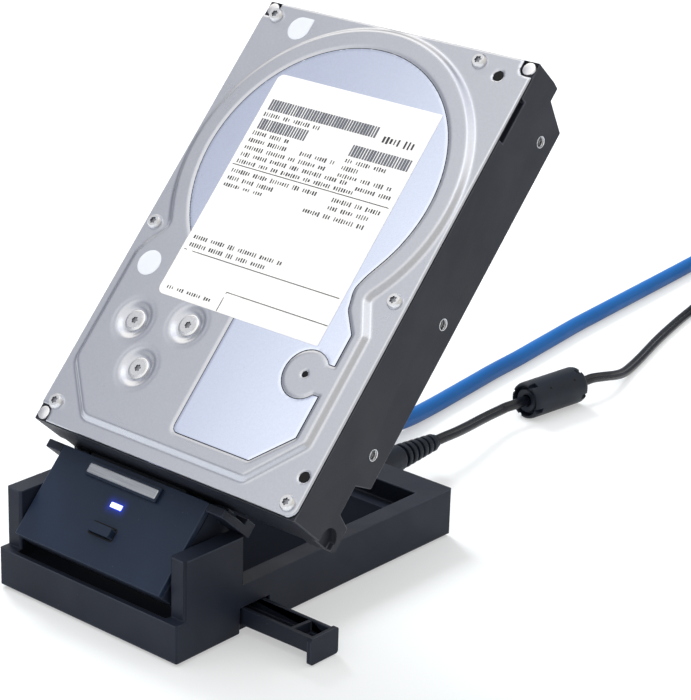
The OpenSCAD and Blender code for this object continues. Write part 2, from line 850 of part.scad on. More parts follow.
module power_button() {
    lip = 2 * (cap_lip + fit_gap);
    lip_top = panel_back_w - fit_gap;
    low = lip_top - cap_lip_t;
    color("#2b303a") in_cradle() {
        on_panel(0, button_v, [button_w, button_h], button_r, low + eps, face_w + button_proud);
        on_panel(0, button_v, [button_w + lip, button_h + lip], button_r, low, lip_top);
    }
}

module switch_plunger() {
    w0 = board_face_w + switch_floor + button_travel + fit_gap;
    color("#8c8f96") in_cradle() translate([0, button_v, w0]) {
        cylinder(d = plunger_d, h = panel_back_w - fit_gap - cap_lip_t - w0);
    }
}

// The two tongue slots, or tongues, of the connector, with the turned end that keys each
module sata_blades(gap) {
    start = -(signal_l + tongue_gap + power_l) / 2;
    for (b = [[start, signal_l, 1], [start + signal_l + tongue_gap, power_l, 1]]) {
        translate([b[0] - gap, -tongue_t / 2 - gap]) square([b[1] + 2 * gap, tongue_t + 2 * gap]);
        translate([b[0] + b[1] - tongue_t - gap, -tongue_t / 2 - key_h - gap]) {
            square([tongue_t + 2 * gap, key_h + tongue_t + 2 * gap]);
        }
    }
}

module sata_receptacle() {
    color("#16171a") in_cradle() translate([sata_x, 0, sata_w]) rotate([-90, 0, 0]) difference() {
        translate([0, 0, -receptacle_foot]) linear_extrude(receptacle_foot + receptacle_top) {
            square([receptacle_l, receptacle_t], center = true);
        }
        linear_extrude(receptacle_top + eps) sata_blades(slide_gap);
    }
}

module cradle_screws() {
    color("#b9bbbf") in_cradle() for (s = [-1, 1]) {
        translate([s * panel_boss_x, panel_boss_v, back_w]) rotate([180, 0, 0]) {
            screw(screw_head_d, screw_head_t, screw_d, screw_l);
        }
    }
}

module outrigger() {
    y = y_front + arm_y;
    color("#26282d") {
        difference() {
            union() {
                box([arm_end, y - arm_w / 2, z_arm], [plate_x + eps, y + arm_w / 2, z_arm + arm_h]);
                box(
                    [stop_x - stop_gap - lug_l, y - arm_w / 2 - lug, z_arm],
                    [stop_x - stop_gap, y + arm_w / 2 + lug, z_arm + arm_h - lug_drop]
                );
            }
            difference() {
                box(
                    [arm_end + arm_wall, y - arm_w / 2 + arm_wall, z_arm + arm_wall],
                    [plate_x, y + arm_w / 2 - arm_wall, z_arm + arm_h + eps]
                );
                box(
                    [plate_x - rib_in, y - arm_w, z_arm],
                    [plate_x - rib_in + arm_wall, y + arm_w, z_arm + arm_h - rib_drop]
                );
            }
        }
        translate([plate_x, y, plate_gap + plate_h / 2]) rotate([90, 0, 90]) {
            linear_extrude(plate_t) round_rect(plate_w, plate_h, plate_r);
        }
    }
}

// Side outline of the casting's rails, with the cut-outs at both ends
module rail_outline() {
    far = drive_l - end_gap;
    polygon([
        [0, tip_w + tip_r], [tip_r, tip_w], [8, tip_w], [9.7, 6.8], [18.5, 6.9], [20.7, 0], [far - 8.7, 0],
        [far - 4.6, 11], [far - 0.4, 11], [far, 14], [far, casting_top], [0, casting_top]
    ]);
    translate([tip_r, tip_w + tip_r]) circle(tip_r);
}

// Arched pocket in the outer face of a rail, open at the connector end
module rail_arch() {
    translate([arch_v, arch_w]) circle(arch_r);
    translate([-eps, arch_w - arch_r]) square([arch_v, 2 * arch_r]);
}

module plug_pocket(gap) {
    half = receptacle_l / 2 + plug_wall + gap;
    x = sata_x - drive_x;
    top = sata_w + receptacle_t / 2 + plug_wall + gap;
    box([x - half, -overrun, -overrun], [x + half, plug_depth + gap, top]);
}

module chamber() {
    translate([platter[0], platter[1], belly_w + chamber_lift]) cylinder(d = chamber_d, h = drive_h);
    box([arm_bay[0], arm_bay[1], belly_w + arm_bay_lift], [drive_w - arm_bay_side, platter[1], drive_h]);
}

module drive_casting() {
    color("#2b2d31") in_drive() difference() {
        union() {
            for (x = [rail_span / 2, drive_w - rail_span / 2]) translate([x, 0, 0]) {
                along_x(rail_span) rail_outline();
            }
            box([rail_span - eps, 0, belly_w], [drive_w - rail_span + eps, drive_l - end_gap, casting_top]);
            translate([platter[0], platter[1], belly_w - motor_proud]) {
                cylinder(d = motor_d, h = motor_proud + overrun);
            }
        }
        chamber();
        for (x = [0, drive_w]) translate([x, 0, 0]) along_x(2 * arch_depth) rail_arch();
        pocket_v = drive_l - side_pocket_end;
        box(
            [drive_w - side_pocket[0], pocket_v - side_pocket[1], casting_top - side_pocket[2]],
            [drive_w + eps, pocket_v, casting_top + eps]
        );
        plug_pocket(fit_gap);
        for (v = side_hole_v) for (x = [-eps, drive_w - side_hole_depth]) translate([x, v, side_hole_w]) {
            rotate([0, 90, 0]) cylinder(d = side_hole_d, h = side_hole_depth + eps);
        }
        for (v = base_hole_v) for (x = [base_hole_in, drive_w - base_hole_in]) translate([x, v, -eps]) {
            cylinder(d = side_hole_d, h = side_hole_depth);
        }
        for (p = screw_spots) translate([p[0], p[1], casting_top - tapped_l]) {
            cylinder(d = tapped_d, h = tapped_l + overrun);
        }
        for (p = post_spots) translate([p[0], p[1], post_seat]) {
            cylinder(d = post_d + 2 * fit_gap, h = drive_h);
        }
        for (p = board_screw_spots) translate([p[0], p[1], belly_w - eps]) {
            cylinder(d = tapped_d, h = board_bore_l);
        }
    }
}

// Outline of the cover's raised panel: the platter ridge and the lower field. The inner edge of the raised
// wall is the same outline on a slightly smaller drive.
module plateau_outline(inset) {
    middle = [drive_w / 2, drive_l / 2];
    shrink = 1 - inset / ridge_r;
    translate(platter) circle(ridge_r - inset, $fn = 96);
    translate(middle) scale(shrink) translate(-middle) polygon(field_outline);
}

module drive_top_cover() {
    color("#b4b6ba") in_drive() difference() {
        union() {
            difference() {
                translate([drive_w / 2, (drive_l - end_gap) / 2, casting_top]) linear_extrude(sheet_t) {
                    round_rect(drive_w - 2 * cover_inset, drive_l - end_gap - 2 * cover_inset, cover_r);
                }
                translate([0, 0, casting_top - eps]) linear_extrude(sheet_t + 2 * eps) {
                    plateau_outline(sheet_t);
                }
            }
            translate([0, 0, casting_top]) linear_extrude(plateau_h + sheet_t - foil_t) difference() {
                plateau_outline(0);
                plateau_outline(sheet_t);
            }
            translate([0, 0, rim_top + plateau_h - foil_t - sheet_t]) linear_extrude(sheet_t) {
                plateau_outline(sheet_t - eps);
            }
        }
        for (p = ring_spots) translate([p[0], p[1], drive_h - foil_t - ring_depth]) {
            cylinder(d1 = ring_floor_d, d2 = ring_d, h = ring_depth + eps);
        }
        for (p = concat(screw_spots, hole_spots)) translate([p[0], p[1], casting_top - eps]) {
            cylinder(d = hole_d, h = drive_h);
        }
        translate([breather[0], breather[1], casting_top]) cylinder(d = breather_d, h = drive_h);
        for (p = post_spots) translate([p[0], p[1], casting_top - eps]) linear_extrude(drive_h) {
            reach = post_d / 2 + post_notch;
            circle(reach);
            rotate([0, 0, atan2(p[1] - drive_l / 2, p[0] - drive_w / 2)]) translate([0, -reach]) {
                square(2 * reach);
            }
        }
    }
}

// Thin bright sheet bonded to the raised panel: round the platter and over the lower right field
module drive_cover_foil() {
    color("#c3cad6") in_drive() translate([0, 0, drive_h - foil_t]) linear_extrude(foil_t) difference() {
        union() {
            translate(platter) circle(foil_r, $fn = 96);
            polygon(sheet_outline);
        }
        translate(breather) circle(breather_r);
        translate([breather[0], breather[1] - breather_neck / 2]) square([drive_w, breather_neck]);
    }
}

module drive_label() {
    color("#f4f4f2") in_drive() translate([label_spot[0], label_spot[1], drive_h]) linear_extrude(label_t) {
        round_rect(label_size[0], label_size[1], label_r);
    }
}

module drive_seals() {
    color("#eef1f4") in_drive() {
        translate([corner_seal[0], corner_seal[1], rim_top]) linear_extrude(label_t) {
            circle(corner_seal_r);
            square(corner_seal_r);
        }
        translate([side_seal[0], side_seal[1], drive_h - foil_t]) linear_extrude(label_t) circle(side_seal_r);
    }
}

// Pan head with a six-lobed socket, all in proportion to its diameter and thickness
module torx_head(d, t) {
    skirt = 0.55 * t;
    socket_floor = 0.4 * t;
    difference() {
        union() {
            cylinder(d = d, h = skirt);
            translate([0, 0, skirt - eps]) cylinder(d1 = d, d2 = 0.72 * d, h = t - skirt);
        }
        translate([0, 0, socket_floor]) linear_extrude(t) for (a = [0 : 60 : 300]) {
            rotate([0, 0, a]) translate([0.13 * d, 0]) circle(0.08 * d, $fn = 16);
        }
        translate([0, 0, socket_floor]) cylinder(d = 0.26 * d, h = t);
    }
}

module drive_cover_screws() {
    color("#d7d8da") in_drive() {
        for (p = screw_spots) translate([p[0], p[1], rim_top]) {
            torx_head(cover_screw_d, cover_screw_t);
            translate([0, 0, -cover_shank_l]) cylinder(d = cover_shank_d, h = cover_shank_l + eps);
        }
        for (p = ring_spots) translate([p[0], p[1], drive_h - foil_t - ring_depth]) {
            torx_head(ring_screw_d, ring_depth);
        }
    }
}

module drive_corner_posts() {
    color("#e4e6ea") in_drive() for (p = post_spots) {
        translate([p[0], p[1], post_seat]) cylinder(d = post_d, h = post_top - post_seat);
    }
}

module drive_pcb() {
    color("#1d4f31") in_drive() difference() {
        box([board_margin, board_end, drive_board_w], [drive_w - board_margin, board_top, belly_w]);
        translate([platter[0], platter[1], 0]) cylinder(d = motor_d + 2 * motor_gap, h = drive_h);
        plug_pocket(fit_gap);
        for (p = board_screw_spots) translate([p[0], p[1], 0]) cylinder(d = board_hole_d, h = belly_w);
    }
}

module drive_pcb_screws() {
    color("#c9cacc") in_drive() for (p = board_screw_spots) translate([p[0], p[1], drive_board_w]) {
        rotate([180, 0, 0]) screw(board_screw[0], board_screw[1], board_screw[2], board_screw[3]);
    }
}

module drive_sata_plug() {
    color("#16171a") in_cradle() difference() {
        intersection() {
            translate([drive_x, 0, 0]) plug_pocket(0);
            box([-drive_w, 0, plug_low], [drive_w, plug_depth, drive_h]);
        }
        translate([sata_x, -eps, sata_w]) rotate([-90, 0, 0]) difference() {
            linear_extrude(plug_mouth) {
                square([receptacle_l + 2 * slide_gap, receptacle_t + 2 * slide_gap], center = true);
            }
            translate([0, 0, tongue_reach]) linear_extrude(plug_mouth) sata_blades(0);
        }
    }
}

function unit(a) = a / norm(a);
function tangent(path, i) = unit(path[min(i + 1, len(path) - 1)] - path[max(i - 1, 0)]);

// Round tube swept along a path that never points straight up
module tube(path, d, sides) {
    n = len(path);
    points = [
        for (i = [0 : n - 1]) let (t = tangent(path, i), s = unit(cross(t, [0, 0, 1])), u = cross(s, t))
        for (k = [0 : sides - 1]) let (a = 360 * (k + 0.5) / sides)
        path[i] + d / 2 * (cos(a) * s + sin(a) * u)
    ];
    last = (n - 1) * sides;
    walls = [
        for (i = [0 : n - 2]) for (k = [0 : sides - 1])
        let (a = i * sides + k, b = i * sides + (k + 1) % sides)
        each [[a, b, b + sides], [a, b + sides, a + sides]]
    ];
    near_cap = [for (k = [1 : sides - 2]) [0, k + 1, k]];
    far_cap = [for (k = [1 : sides - 2]) [last, last + k, last + k + 1]];
    polyhedron(points, concat(walls, near_cap, far_cap), convexity = 10);
}

function smooth(t) = let (c = min(max(t, 0), 1)) c * c * (3 - 2 * c);

// One coil in two layers: in along the table, up in the half turn where it turns back, and out on top
function coil_point(t, centre, rout, turns, d, z0) = let (
    a = 180 - 360 * t,
    r = rout - (d + turn_gap) * min(t, turns - t),
    z = z0 + (d + turn_gap) * smooth(2 * (t - turns / 2) + 0.5)
) [centre[0] + r * cos(a), centre[1] + r * sin(a), z];

// The coil's path: a straight start, the turns, and a straight tail that comes down to what it ends in
function coil_path(centre, rout, turns, d, z0, tail, tail_z) = let (
    steps = round(turns * rings_per_turn),
    start = [centre[0] - rout, centre[1] - d, z0],
    last = coil_point(turns, centre, rout, turns, d, z0),
    a = 180 - 360 * turns,
    away = [sin(a), -cos(a), 0]
) concat(
    [start],
    [for (i = [0 : steps]) coil_point(turns * i / steps, centre, rout, turns, d, z0)],
    [
        for (i = [1 : tail_rings]) let (s = i / tail_rings)
        last + tail * s * away + [0, 0, (tail_z - last[2]) * smooth(1.15 * s)]
    ]
);

// Least gap between stretches of one tube that are more than half a turn apart
function least_gap(path, d) = min([
    for (i = [0 : len(path) - 1]) for (j = [i + rings_per_turn / 2 : 1 : len(path) - 1])
    norm(path[i] - path[j])
]) - d;

usb_coil_path = coil_path(usb_centre, usb_rout, usb_turns, usb_d, usb_coil_z, usb_tail, usb_tail_z);
dc_coil_path = coil_path(dc_centre, dc_rout, dc_turns, dc_d, dc_coil_z, dc_tail, dc_tail_z);
usb_end = usb_coil_path[len(usb_coil_path) - 1];
dc_end = dc_coil_path[len(dc_coil_path) - 1];
far_body = [15.6, 8.4, 22];
far_body_r = 2;
far_shell = [12, 4.5, 18.5];
far_mouth = [11.2, 1.9];
far_mouth_up = 0.9;
relief_l = 6;
relief_d = 7;
adapter = [34, 50, 29];
adapter_r = 4;
adapter_x = dc_end[0] + relief_l + adapter[0] / 2;
blade = [6.2, 1.5, 17];
blade_pitch = 12.7;
echo(usb_coil_gap = least_gap(usb_coil_path, usb_d), dc_coil_gap = least_gap(dc_coil_path, dc_d));

// Band round all the turns of a coil, square to them, standing at a given angle
module coil_tie(centre, rout, turns, d, angle) {
    turn_w = turns / 2 * (d + turn_gap) + d;
    high = 2 * d + turn_gap;
    mid = rout + d / 2 - turn_w / 2;
    inner = [turn_w + 2 * tie_slack, high + 2 * tie_gap];
    translate([centre[0], centre[1], tie_t + tie_gap + high / 2]) rotate([0, 0, angle]) {
        translate([mid, 0, 0]) rotate([90, 0, 0]) linear_extrude(tie_w, center = true) difference() {
            round_rect(inner[0] + 2 * tie_t, inner[1] + 2 * tie_t, tie_r);
            square(inner, center = true);
        }
    }
}

module usb_plug() {
    shell = [usb_sock[0], usb_sock[2]] - 2 * usb_shell_gap * [1, 1];
    color("#1d4f9e") translate([usb_x, y_back + plug_stand, usb_z]) rotate([-90, 0, 0]) {
        linear_extrude(usb_body[2]) round_rect(usb_body[0], usb_body[1], usb_body_r);
        translate([0, 0, usb_body[2] - eps]) {
            cylinder(d1 = usb_relief_d, d2 = usb_d + usb_relief_end, h = usb_relief_l + eps);
        }
    }
    color("#c9cbce") translate([usb_x, y_back + plug_stand, usb_z]) rotate([90, 0, 0]) difference() {
        translate([0, 0, -eps]) linear_extrude(usb_shell_l) square(shell, center = true);
        linear_extrude(usb_shell_l + overrun) square(shell - 2 * usb_shell_t * [1, 1], center = true);
    }
}

module usb_cable() {
    color("#1f5fae") tube(usb_route, usb_d, tube_sides);
}

module usb_coil() {
    color("#1f5fae") tube(usb_coil_path, usb_d, coil_sides);
}

module usb_tie() {
    color("#202124") coil_tie(usb_centre, usb_rout, usb_turns, usb_d, 300);
}

module usb_far_plug() {
    translate(usb_end) rotate([90, 0, 90]) {
        color("#1d4f9e") linear_extrude(far_body[2]) round_rect(far_body[0], far_body[1], far_body_r);
        color("#c9cbce") translate([0, 0, far_body[2] - eps]) linear_extrude(far_shell[2]) difference() {
            square([far_shell[0], far_shell[1]], center = true);
            translate([0, far_mouth_up]) square(far_mouth, center = true);
        }
    }
}

module dc_plug() {
    color("#17181a") translate([dc_x, y_back + plug_stand, dc_z]) rotate([-90, 0, 0]) {
        cylinder(d = dc_body_d, h = dc_body_l);
        translate([0, 0, dc_body_l - eps]) {
            cylinder(d1 = dc_relief_d, d2 = dc_d + dc_relief_end, h = dc_relief_l + eps);
        }
        for (i = [0 : dc_ribs - 1]) translate([0, 0, dc_body_l + dc_rib_pitch * (i + 0.5)]) {
            cylinder(d = dc_rib_d - dc_rib_taper * i, h = dc_rib_t);
        }
    }
    color("#c9cbce") translate([dc_x, y_back + plug_stand, dc_z]) rotate([90, 0, 0]) difference() {
        translate([0, 0, -eps]) cylinder(d = barrel_d, h = barrel_l + eps);
        cylinder(d = barrel_bore, h = barrel_l + overrun);
    }
}

module dc_lead_front() {
    color("#1a1b1d") tube(dc_front_route, dc_d, tube_sides);
}

module ferrite_core() {
    color("#1d1e20") translate(ferrite_near) rotate([0, 0, -ferrite_turn]) rotate([-90, 0, 0]) {
        cylinder(d1 = ferrite_neck_end, d2 = ferrite_neck_d, h = ferrite_neck);
        translate([0, 0, ferrite_neck - eps]) {
            cylinder(d = ferrite_d, h = ferrite_l - 2 * ferrite_neck + 2 * eps);
        }
        translate([0, 0, ferrite_l - ferrite_neck]) {
            cylinder(d1 = ferrite_neck_d, d2 = ferrite_neck_end, h = ferrite_neck);
        }
    }
}

module dc_lead_rear() {
    color("#1a1b1d") tube(dc_rear_route, dc_d, tube_sides);
}

module dc_coil() {
    color("#1a1b1d") tube(dc_coil_path, dc_d, coil_sides);
}

module dc_tie() {
    color("#202124") coil_tie(dc_centre, dc_rout, dc_turns, dc_d, 330);
}

module power_adapter() {
    color("#1c1d1f") {
        translate([adapter_x, dc_end[1], 0]) linear_extrude(adapter[2]) {
            round_rect(adapter[0], adapter[1], adapter_r);
        }
        translate(dc_end) rotate([0, 90, 0]) {
            cylinder(d1 = dc_d + dc_relief_end, d2 = relief_d, h = relief_l + eps);
        }
    }
}

module adapter_blades() {
    color("#c9cbce") for (s = [-1, 1]) {
        translate([adapter_x, dc_end[1] + s * blade_pitch / 2, adapter[2]]) {
            linear_extrude(blade[2]) square([blade[0], blade[1]], center = true);
        }
    }
}

base_shell();
base_bottom_cover();
rubber_feet();
base_screws();
main_pcb();
bridge_chips();
dc_jack();
usb_socket();
hinge_pins();
cradle_shell();
cradle_front_panel();
badge_bar();
light_window();
light_chip();
cradle_pcb();
tact_switch();
sata_receptacle();
cradle_screws();
power_button();
switch_plunger();
outrigger();
drive_casting();
drive_top_cover();
drive_cover_foil();
drive_label();
drive_seals();
drive_cover_screws();
drive_corner_posts();
drive_pcb();
drive_pcb_screws();
drive_sata_plug();
usb_plug();
usb_cable();
usb_coil();
usb_tie();
usb_far_plug();
dc_plug();
dc_lead_front();
ferrite_core();
dc_lead_rear();
dc_coil();
dc_tie();
power_adapter();
adapter_blades();
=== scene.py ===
import json
from math import acos, atan2, cos, degrees, hypot, pi, radians, sin, tan

import bmesh
import bpy
import numpy as np
from mathutils import Matrix, Vector
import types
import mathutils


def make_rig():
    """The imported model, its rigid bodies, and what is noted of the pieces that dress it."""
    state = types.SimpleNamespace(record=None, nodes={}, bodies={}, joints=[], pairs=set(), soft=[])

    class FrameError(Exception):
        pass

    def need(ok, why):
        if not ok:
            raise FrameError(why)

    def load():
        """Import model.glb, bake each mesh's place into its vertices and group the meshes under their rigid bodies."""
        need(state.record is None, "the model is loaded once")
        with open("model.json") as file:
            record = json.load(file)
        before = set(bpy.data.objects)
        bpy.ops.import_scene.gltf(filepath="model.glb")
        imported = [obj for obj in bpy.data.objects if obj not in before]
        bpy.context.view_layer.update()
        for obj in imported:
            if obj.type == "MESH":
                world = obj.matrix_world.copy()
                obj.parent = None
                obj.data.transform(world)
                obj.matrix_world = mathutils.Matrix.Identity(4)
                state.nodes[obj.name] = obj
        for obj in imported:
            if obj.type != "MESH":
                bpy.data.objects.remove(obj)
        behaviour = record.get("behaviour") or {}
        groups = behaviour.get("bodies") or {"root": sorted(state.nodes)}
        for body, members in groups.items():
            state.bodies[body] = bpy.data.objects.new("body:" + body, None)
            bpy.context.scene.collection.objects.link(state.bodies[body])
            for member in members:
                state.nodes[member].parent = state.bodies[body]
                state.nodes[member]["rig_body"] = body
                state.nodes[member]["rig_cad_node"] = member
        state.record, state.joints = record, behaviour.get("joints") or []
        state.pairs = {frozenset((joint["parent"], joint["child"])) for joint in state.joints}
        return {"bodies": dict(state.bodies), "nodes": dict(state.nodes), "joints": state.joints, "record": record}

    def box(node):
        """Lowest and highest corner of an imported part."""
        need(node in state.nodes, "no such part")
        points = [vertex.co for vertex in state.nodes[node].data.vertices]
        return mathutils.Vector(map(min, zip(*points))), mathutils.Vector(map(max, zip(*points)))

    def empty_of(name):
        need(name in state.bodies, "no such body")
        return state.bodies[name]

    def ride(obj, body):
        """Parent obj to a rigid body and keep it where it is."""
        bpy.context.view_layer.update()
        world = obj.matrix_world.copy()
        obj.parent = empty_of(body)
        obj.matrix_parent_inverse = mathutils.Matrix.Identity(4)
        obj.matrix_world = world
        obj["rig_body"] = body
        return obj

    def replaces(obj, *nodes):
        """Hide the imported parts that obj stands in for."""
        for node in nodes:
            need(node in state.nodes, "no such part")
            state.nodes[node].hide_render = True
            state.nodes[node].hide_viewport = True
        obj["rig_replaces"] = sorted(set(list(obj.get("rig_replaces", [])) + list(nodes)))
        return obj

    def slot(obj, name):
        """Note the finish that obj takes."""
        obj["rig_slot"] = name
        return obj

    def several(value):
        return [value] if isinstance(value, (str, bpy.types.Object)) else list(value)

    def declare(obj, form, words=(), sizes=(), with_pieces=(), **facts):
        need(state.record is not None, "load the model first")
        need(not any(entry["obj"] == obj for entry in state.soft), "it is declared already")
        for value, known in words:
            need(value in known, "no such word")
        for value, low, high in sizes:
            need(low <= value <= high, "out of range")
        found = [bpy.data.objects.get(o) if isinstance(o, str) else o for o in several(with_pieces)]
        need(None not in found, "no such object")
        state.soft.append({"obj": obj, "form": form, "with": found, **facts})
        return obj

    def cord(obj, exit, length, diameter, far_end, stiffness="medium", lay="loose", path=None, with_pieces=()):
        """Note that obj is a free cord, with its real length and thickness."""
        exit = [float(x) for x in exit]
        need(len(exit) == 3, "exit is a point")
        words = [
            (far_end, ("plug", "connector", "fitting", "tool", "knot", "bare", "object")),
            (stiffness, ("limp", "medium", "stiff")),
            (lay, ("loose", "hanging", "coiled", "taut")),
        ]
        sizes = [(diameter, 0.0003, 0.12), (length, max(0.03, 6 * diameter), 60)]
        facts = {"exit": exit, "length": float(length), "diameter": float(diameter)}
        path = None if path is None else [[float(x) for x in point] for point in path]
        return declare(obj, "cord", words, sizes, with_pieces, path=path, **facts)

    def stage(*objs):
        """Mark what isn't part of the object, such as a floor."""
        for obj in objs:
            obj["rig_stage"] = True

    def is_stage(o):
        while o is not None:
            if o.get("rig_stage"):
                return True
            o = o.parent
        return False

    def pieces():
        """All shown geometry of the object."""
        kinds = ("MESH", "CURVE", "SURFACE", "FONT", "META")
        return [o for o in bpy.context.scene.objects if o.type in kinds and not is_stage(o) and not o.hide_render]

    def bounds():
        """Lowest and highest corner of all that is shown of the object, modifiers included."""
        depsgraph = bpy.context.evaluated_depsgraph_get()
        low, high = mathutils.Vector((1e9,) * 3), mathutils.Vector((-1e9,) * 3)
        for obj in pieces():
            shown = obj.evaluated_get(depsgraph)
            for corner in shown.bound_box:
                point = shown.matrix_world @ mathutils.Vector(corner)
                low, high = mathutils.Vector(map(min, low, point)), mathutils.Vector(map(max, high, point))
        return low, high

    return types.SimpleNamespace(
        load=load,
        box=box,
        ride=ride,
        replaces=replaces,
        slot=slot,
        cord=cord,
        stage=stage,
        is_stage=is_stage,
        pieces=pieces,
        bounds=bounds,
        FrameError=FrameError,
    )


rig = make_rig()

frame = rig.load()
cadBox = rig.bounds()
mm = 0.001
micron = 0.000001
print("frame loaded,", len(frame["nodes"]), "nodes")

shift = Matrix.Translation


def turned(angle, axis):
    return Matrix.Rotation(radians(angle), 4, axis)


def addObject(name, data):
    obj = bpy.data.objects.new(name, data)
    bpy.context.scene.collection.objects.link(obj)
    return obj


# The camera stands where the photograph was taken from.
photoView = {
    "place": (0.46598, -0.44739, 0.32891),
    "azimuth": 40.51, "elevation": 20.94, "roll": 1.753,
    "lens": 129.91, "sensor": 36.0,
}


def placeCamera(view):
    lens = bpy.data.cameras.new("photoCamera")
    lens.lens, lens.sensor_width, lens.sensor_fit = view["lens"], view["sensor"], "HORIZONTAL"
    camera = addObject("photoCamera", lens)
    aim = turned(view["azimuth"], "Z") @ turned(90 - view["elevation"], "X") @ turned(view["roll"], "Z")
    camera.matrix_world = shift(view["place"]) @ aim
    bpy.context.scene.camera = camera


placeCamera(photoView)
print("camera placed")

# The cradle and the drive lean together. Their own axes come from the joints.
lean = {"pivotV": -20.8, "pivotW": 3.4, "driveLeft": -34.92}
joints = {joint["name"]: joint for joint in frame["joints"]}
alongDrive = Vector(joints["drive_slide"]["axis"])
outOfPanel = -Vector(joints["button_press"]["axis"])
leanStart = Vector(joints["cradle_tilt"]["pos_m"])
leanStart -= mm * (lean["pivotV"] * alongDrive + lean["pivotW"] * outOfPanel)
cradleSpace = Matrix((
    (mm, 0, 0, leanStart.x),
    (0, mm * alongDrive.y, mm * outOfPanel.y, leanStart.y),
    (0, mm * alongDrive.z, mm * outOfPanel.z, leanStart.z),
    (0, 0, 0, 1),
))
driveSpace = cradleSpace @ shift((lean["driveLeft"], 0, 0))
tableSpace = Matrix.Scale(mm, 4)


# Node helpers
def addNode(tree, kind, inputs=None, **settings):
    node = tree.nodes.new(kind)
    for name, value in settings.items():
        setattr(node, name, value)
    for name, value in (inputs or {}).items():
        if isinstance(value, bpy.types.NodeSocket):
            tree.links.new(value, node.inputs[name])
        else:
            node.inputs[name].default_value = value
    return node


def feed(tree, node, links):
    for name, socket in links.items():
        tree.links.new(socket, node.inputs[name])


def shade(red, green, blue):
    levels = [level / 255 for level in (red, green, blue)]
    return tuple(c / 12.92 if c <= 0.04 else ((c + 0.055) / 1.055) ** 2.4 for c in levels) + (1.0,)


def mixTone(tree, factor, first, second, blend="MIX"):
    inputs = {0: factor, 6: first, 7: second}
    return addNode(tree, "ShaderNodeMix", inputs, data_type="RGBA", blend_type=blend).outputs[2]


def mixValue(tree, factor, first, second):
    return addNode(tree, "ShaderNodeMix", {0: factor, 2: first, 3: second}, data_type="FLOAT").outputs[0]


def calc(tree, operation, first, second=0.0):
    return addNode(tree, "ShaderNodeMath", {0: first, 1: second}, operation=operation).outputs[0]


def times(tree, first, second):
    return calc(tree, "MULTIPLY", first, second)


def spread(tree, value, low, high, start=0.0, end=1.0):
    inputs = {"Value": value, "From Min": low, "From Max": high, "To Min": start, "To Max": end}
    return addNode(tree, "ShaderNodeMapRange", inputs).outputs["Result"]


def noise(tree, place, scale, detail, distortion=0.0):
    inputs = {"Vector": place, "Scale": scale, "Detail": detail, "Distortion": distortion}
    return addNode(tree, "ShaderNodeTexNoise", inputs).outputs["Fac"]


def ownPlace(tree):
    return addNode(tree, "ShaderNodeTexCoord").outputs["Object"]


def splitAxes(tree, vector):
    return addNode(tree, "ShaderNodeSeparateXYZ", {0: vector}).outputs


def newGroup(name, inputs, outputs):
    group = bpy.data.node_groups.new(name, "ShaderNodeTree")
    for label, value in inputs.items():
        kind = "NodeSocketVector" if isinstance(value, tuple) else "NodeSocketFloat"
        group.interface.new_socket(label, in_out="INPUT", socket_type=kind).default_value = value
    for label in outputs:
        group.interface.new_socket(label, in_out="OUTPUT", socket_type="NodeSocketFloat")
    return group, addNode(group, "NodeGroupInput").outputs, addNode(group, "NodeGroupOutput")


def placeGroup(tree, group, inputs=None):
    return addNode(tree, "ShaderNodeGroup", inputs, node_tree=group).outputs


# Shared surface effects
grainLook = {"detail": 3.0, "cloudShare": 0.012, "cloudDetail": 4.0, "cloud": (0.3, 0.7)}
marksLook = {
    "wipeDetail": 5.0, "wipeBend": 0.8, "smudged": (0.35, 0.7), "scratched": (0.52, 0.66),
    "hairTurn": (0.4, 0.7, 0.5), "hairPull": (14, 1, 14), "hairScale": 42.0, "hairDetail": 2.0,
    "hairLevel": 0.52, "hairWidth": 0.006,
    "gritScale": 620.0, "gritSize": (0.06, 0.14), "gritChance": (0.9, 0.95),
}
edgeWearSheenLook = {"scale": 160.0, "detail": 4.0, "hold": (0.35, 0.65)}
streakLook = {"detail": 4.0, "cloudScale": 45.0, "cloudDetail": 5.0, "range": (0.3, 0.7)}


def makeMouldedGrain():
    group, entry, leave = newGroup("mouldedGrain", {"Grain Size": 0.4}, ["Height", "Tone"])
    place = ownPlace(group)
    scale = calc(group, "DIVIDE", 1 / mm, entry["Grain Size"])
    cloud = noise(group, place, times(group, scale, grainLook["cloudShare"]), grainLook["cloudDetail"])
    feed(group, leave, {
        "Height": noise(group, place, scale, grainLook["detail"]), "Tone": spread(group, cloud, *grainLook["cloud"])})
    return group


def makeHandledMarks():
    look = marksLook
    group, entry, leave = newGroup("handledMarks", {"Spread": 18.0}, ["Smudge", "Scratch", "Speck"])
    place = ownPlace(group)
    scale = calc(group, "DIVIDE", 1 / mm, entry["Spread"])
    wipe = noise(group, place, scale, look["wipeDetail"], look["wipeBend"])
    pulled = addNode(group, "ShaderNodeMapping", {
        "Vector": place, "Rotation": look["hairTurn"], "Scale": look["hairPull"]})
    hair = noise(group, pulled.outputs[0], look["hairScale"], look["hairDetail"])
    line = calc(group, "ABSOLUTE", calc(group, "SUBTRACT", hair, look["hairLevel"]))
    thin = spread(group, line, 0.0, look["hairWidth"], 1.0, 0.0)
    grit = addNode(group, "ShaderNodeTexVoronoi", {"Vector": place, "Scale": look["gritScale"]}).outputs
    chance = addNode(group, "ShaderNodeSeparateColor", {"Color": grit["Color"]}).outputs["Red"]
    spot = spread(group, grit["Distance"], *look["gritSize"], 1.0, 0.0)
    feed(group, leave, {
        "Smudge": spread(group, wipe, *look["smudged"]),
        "Scratch": times(group, thin, spread(group, wipe, *look["scratched"])),
        "Speck": times(group, spot, spread(group, chance, *look["gritChance"]))})
    return group
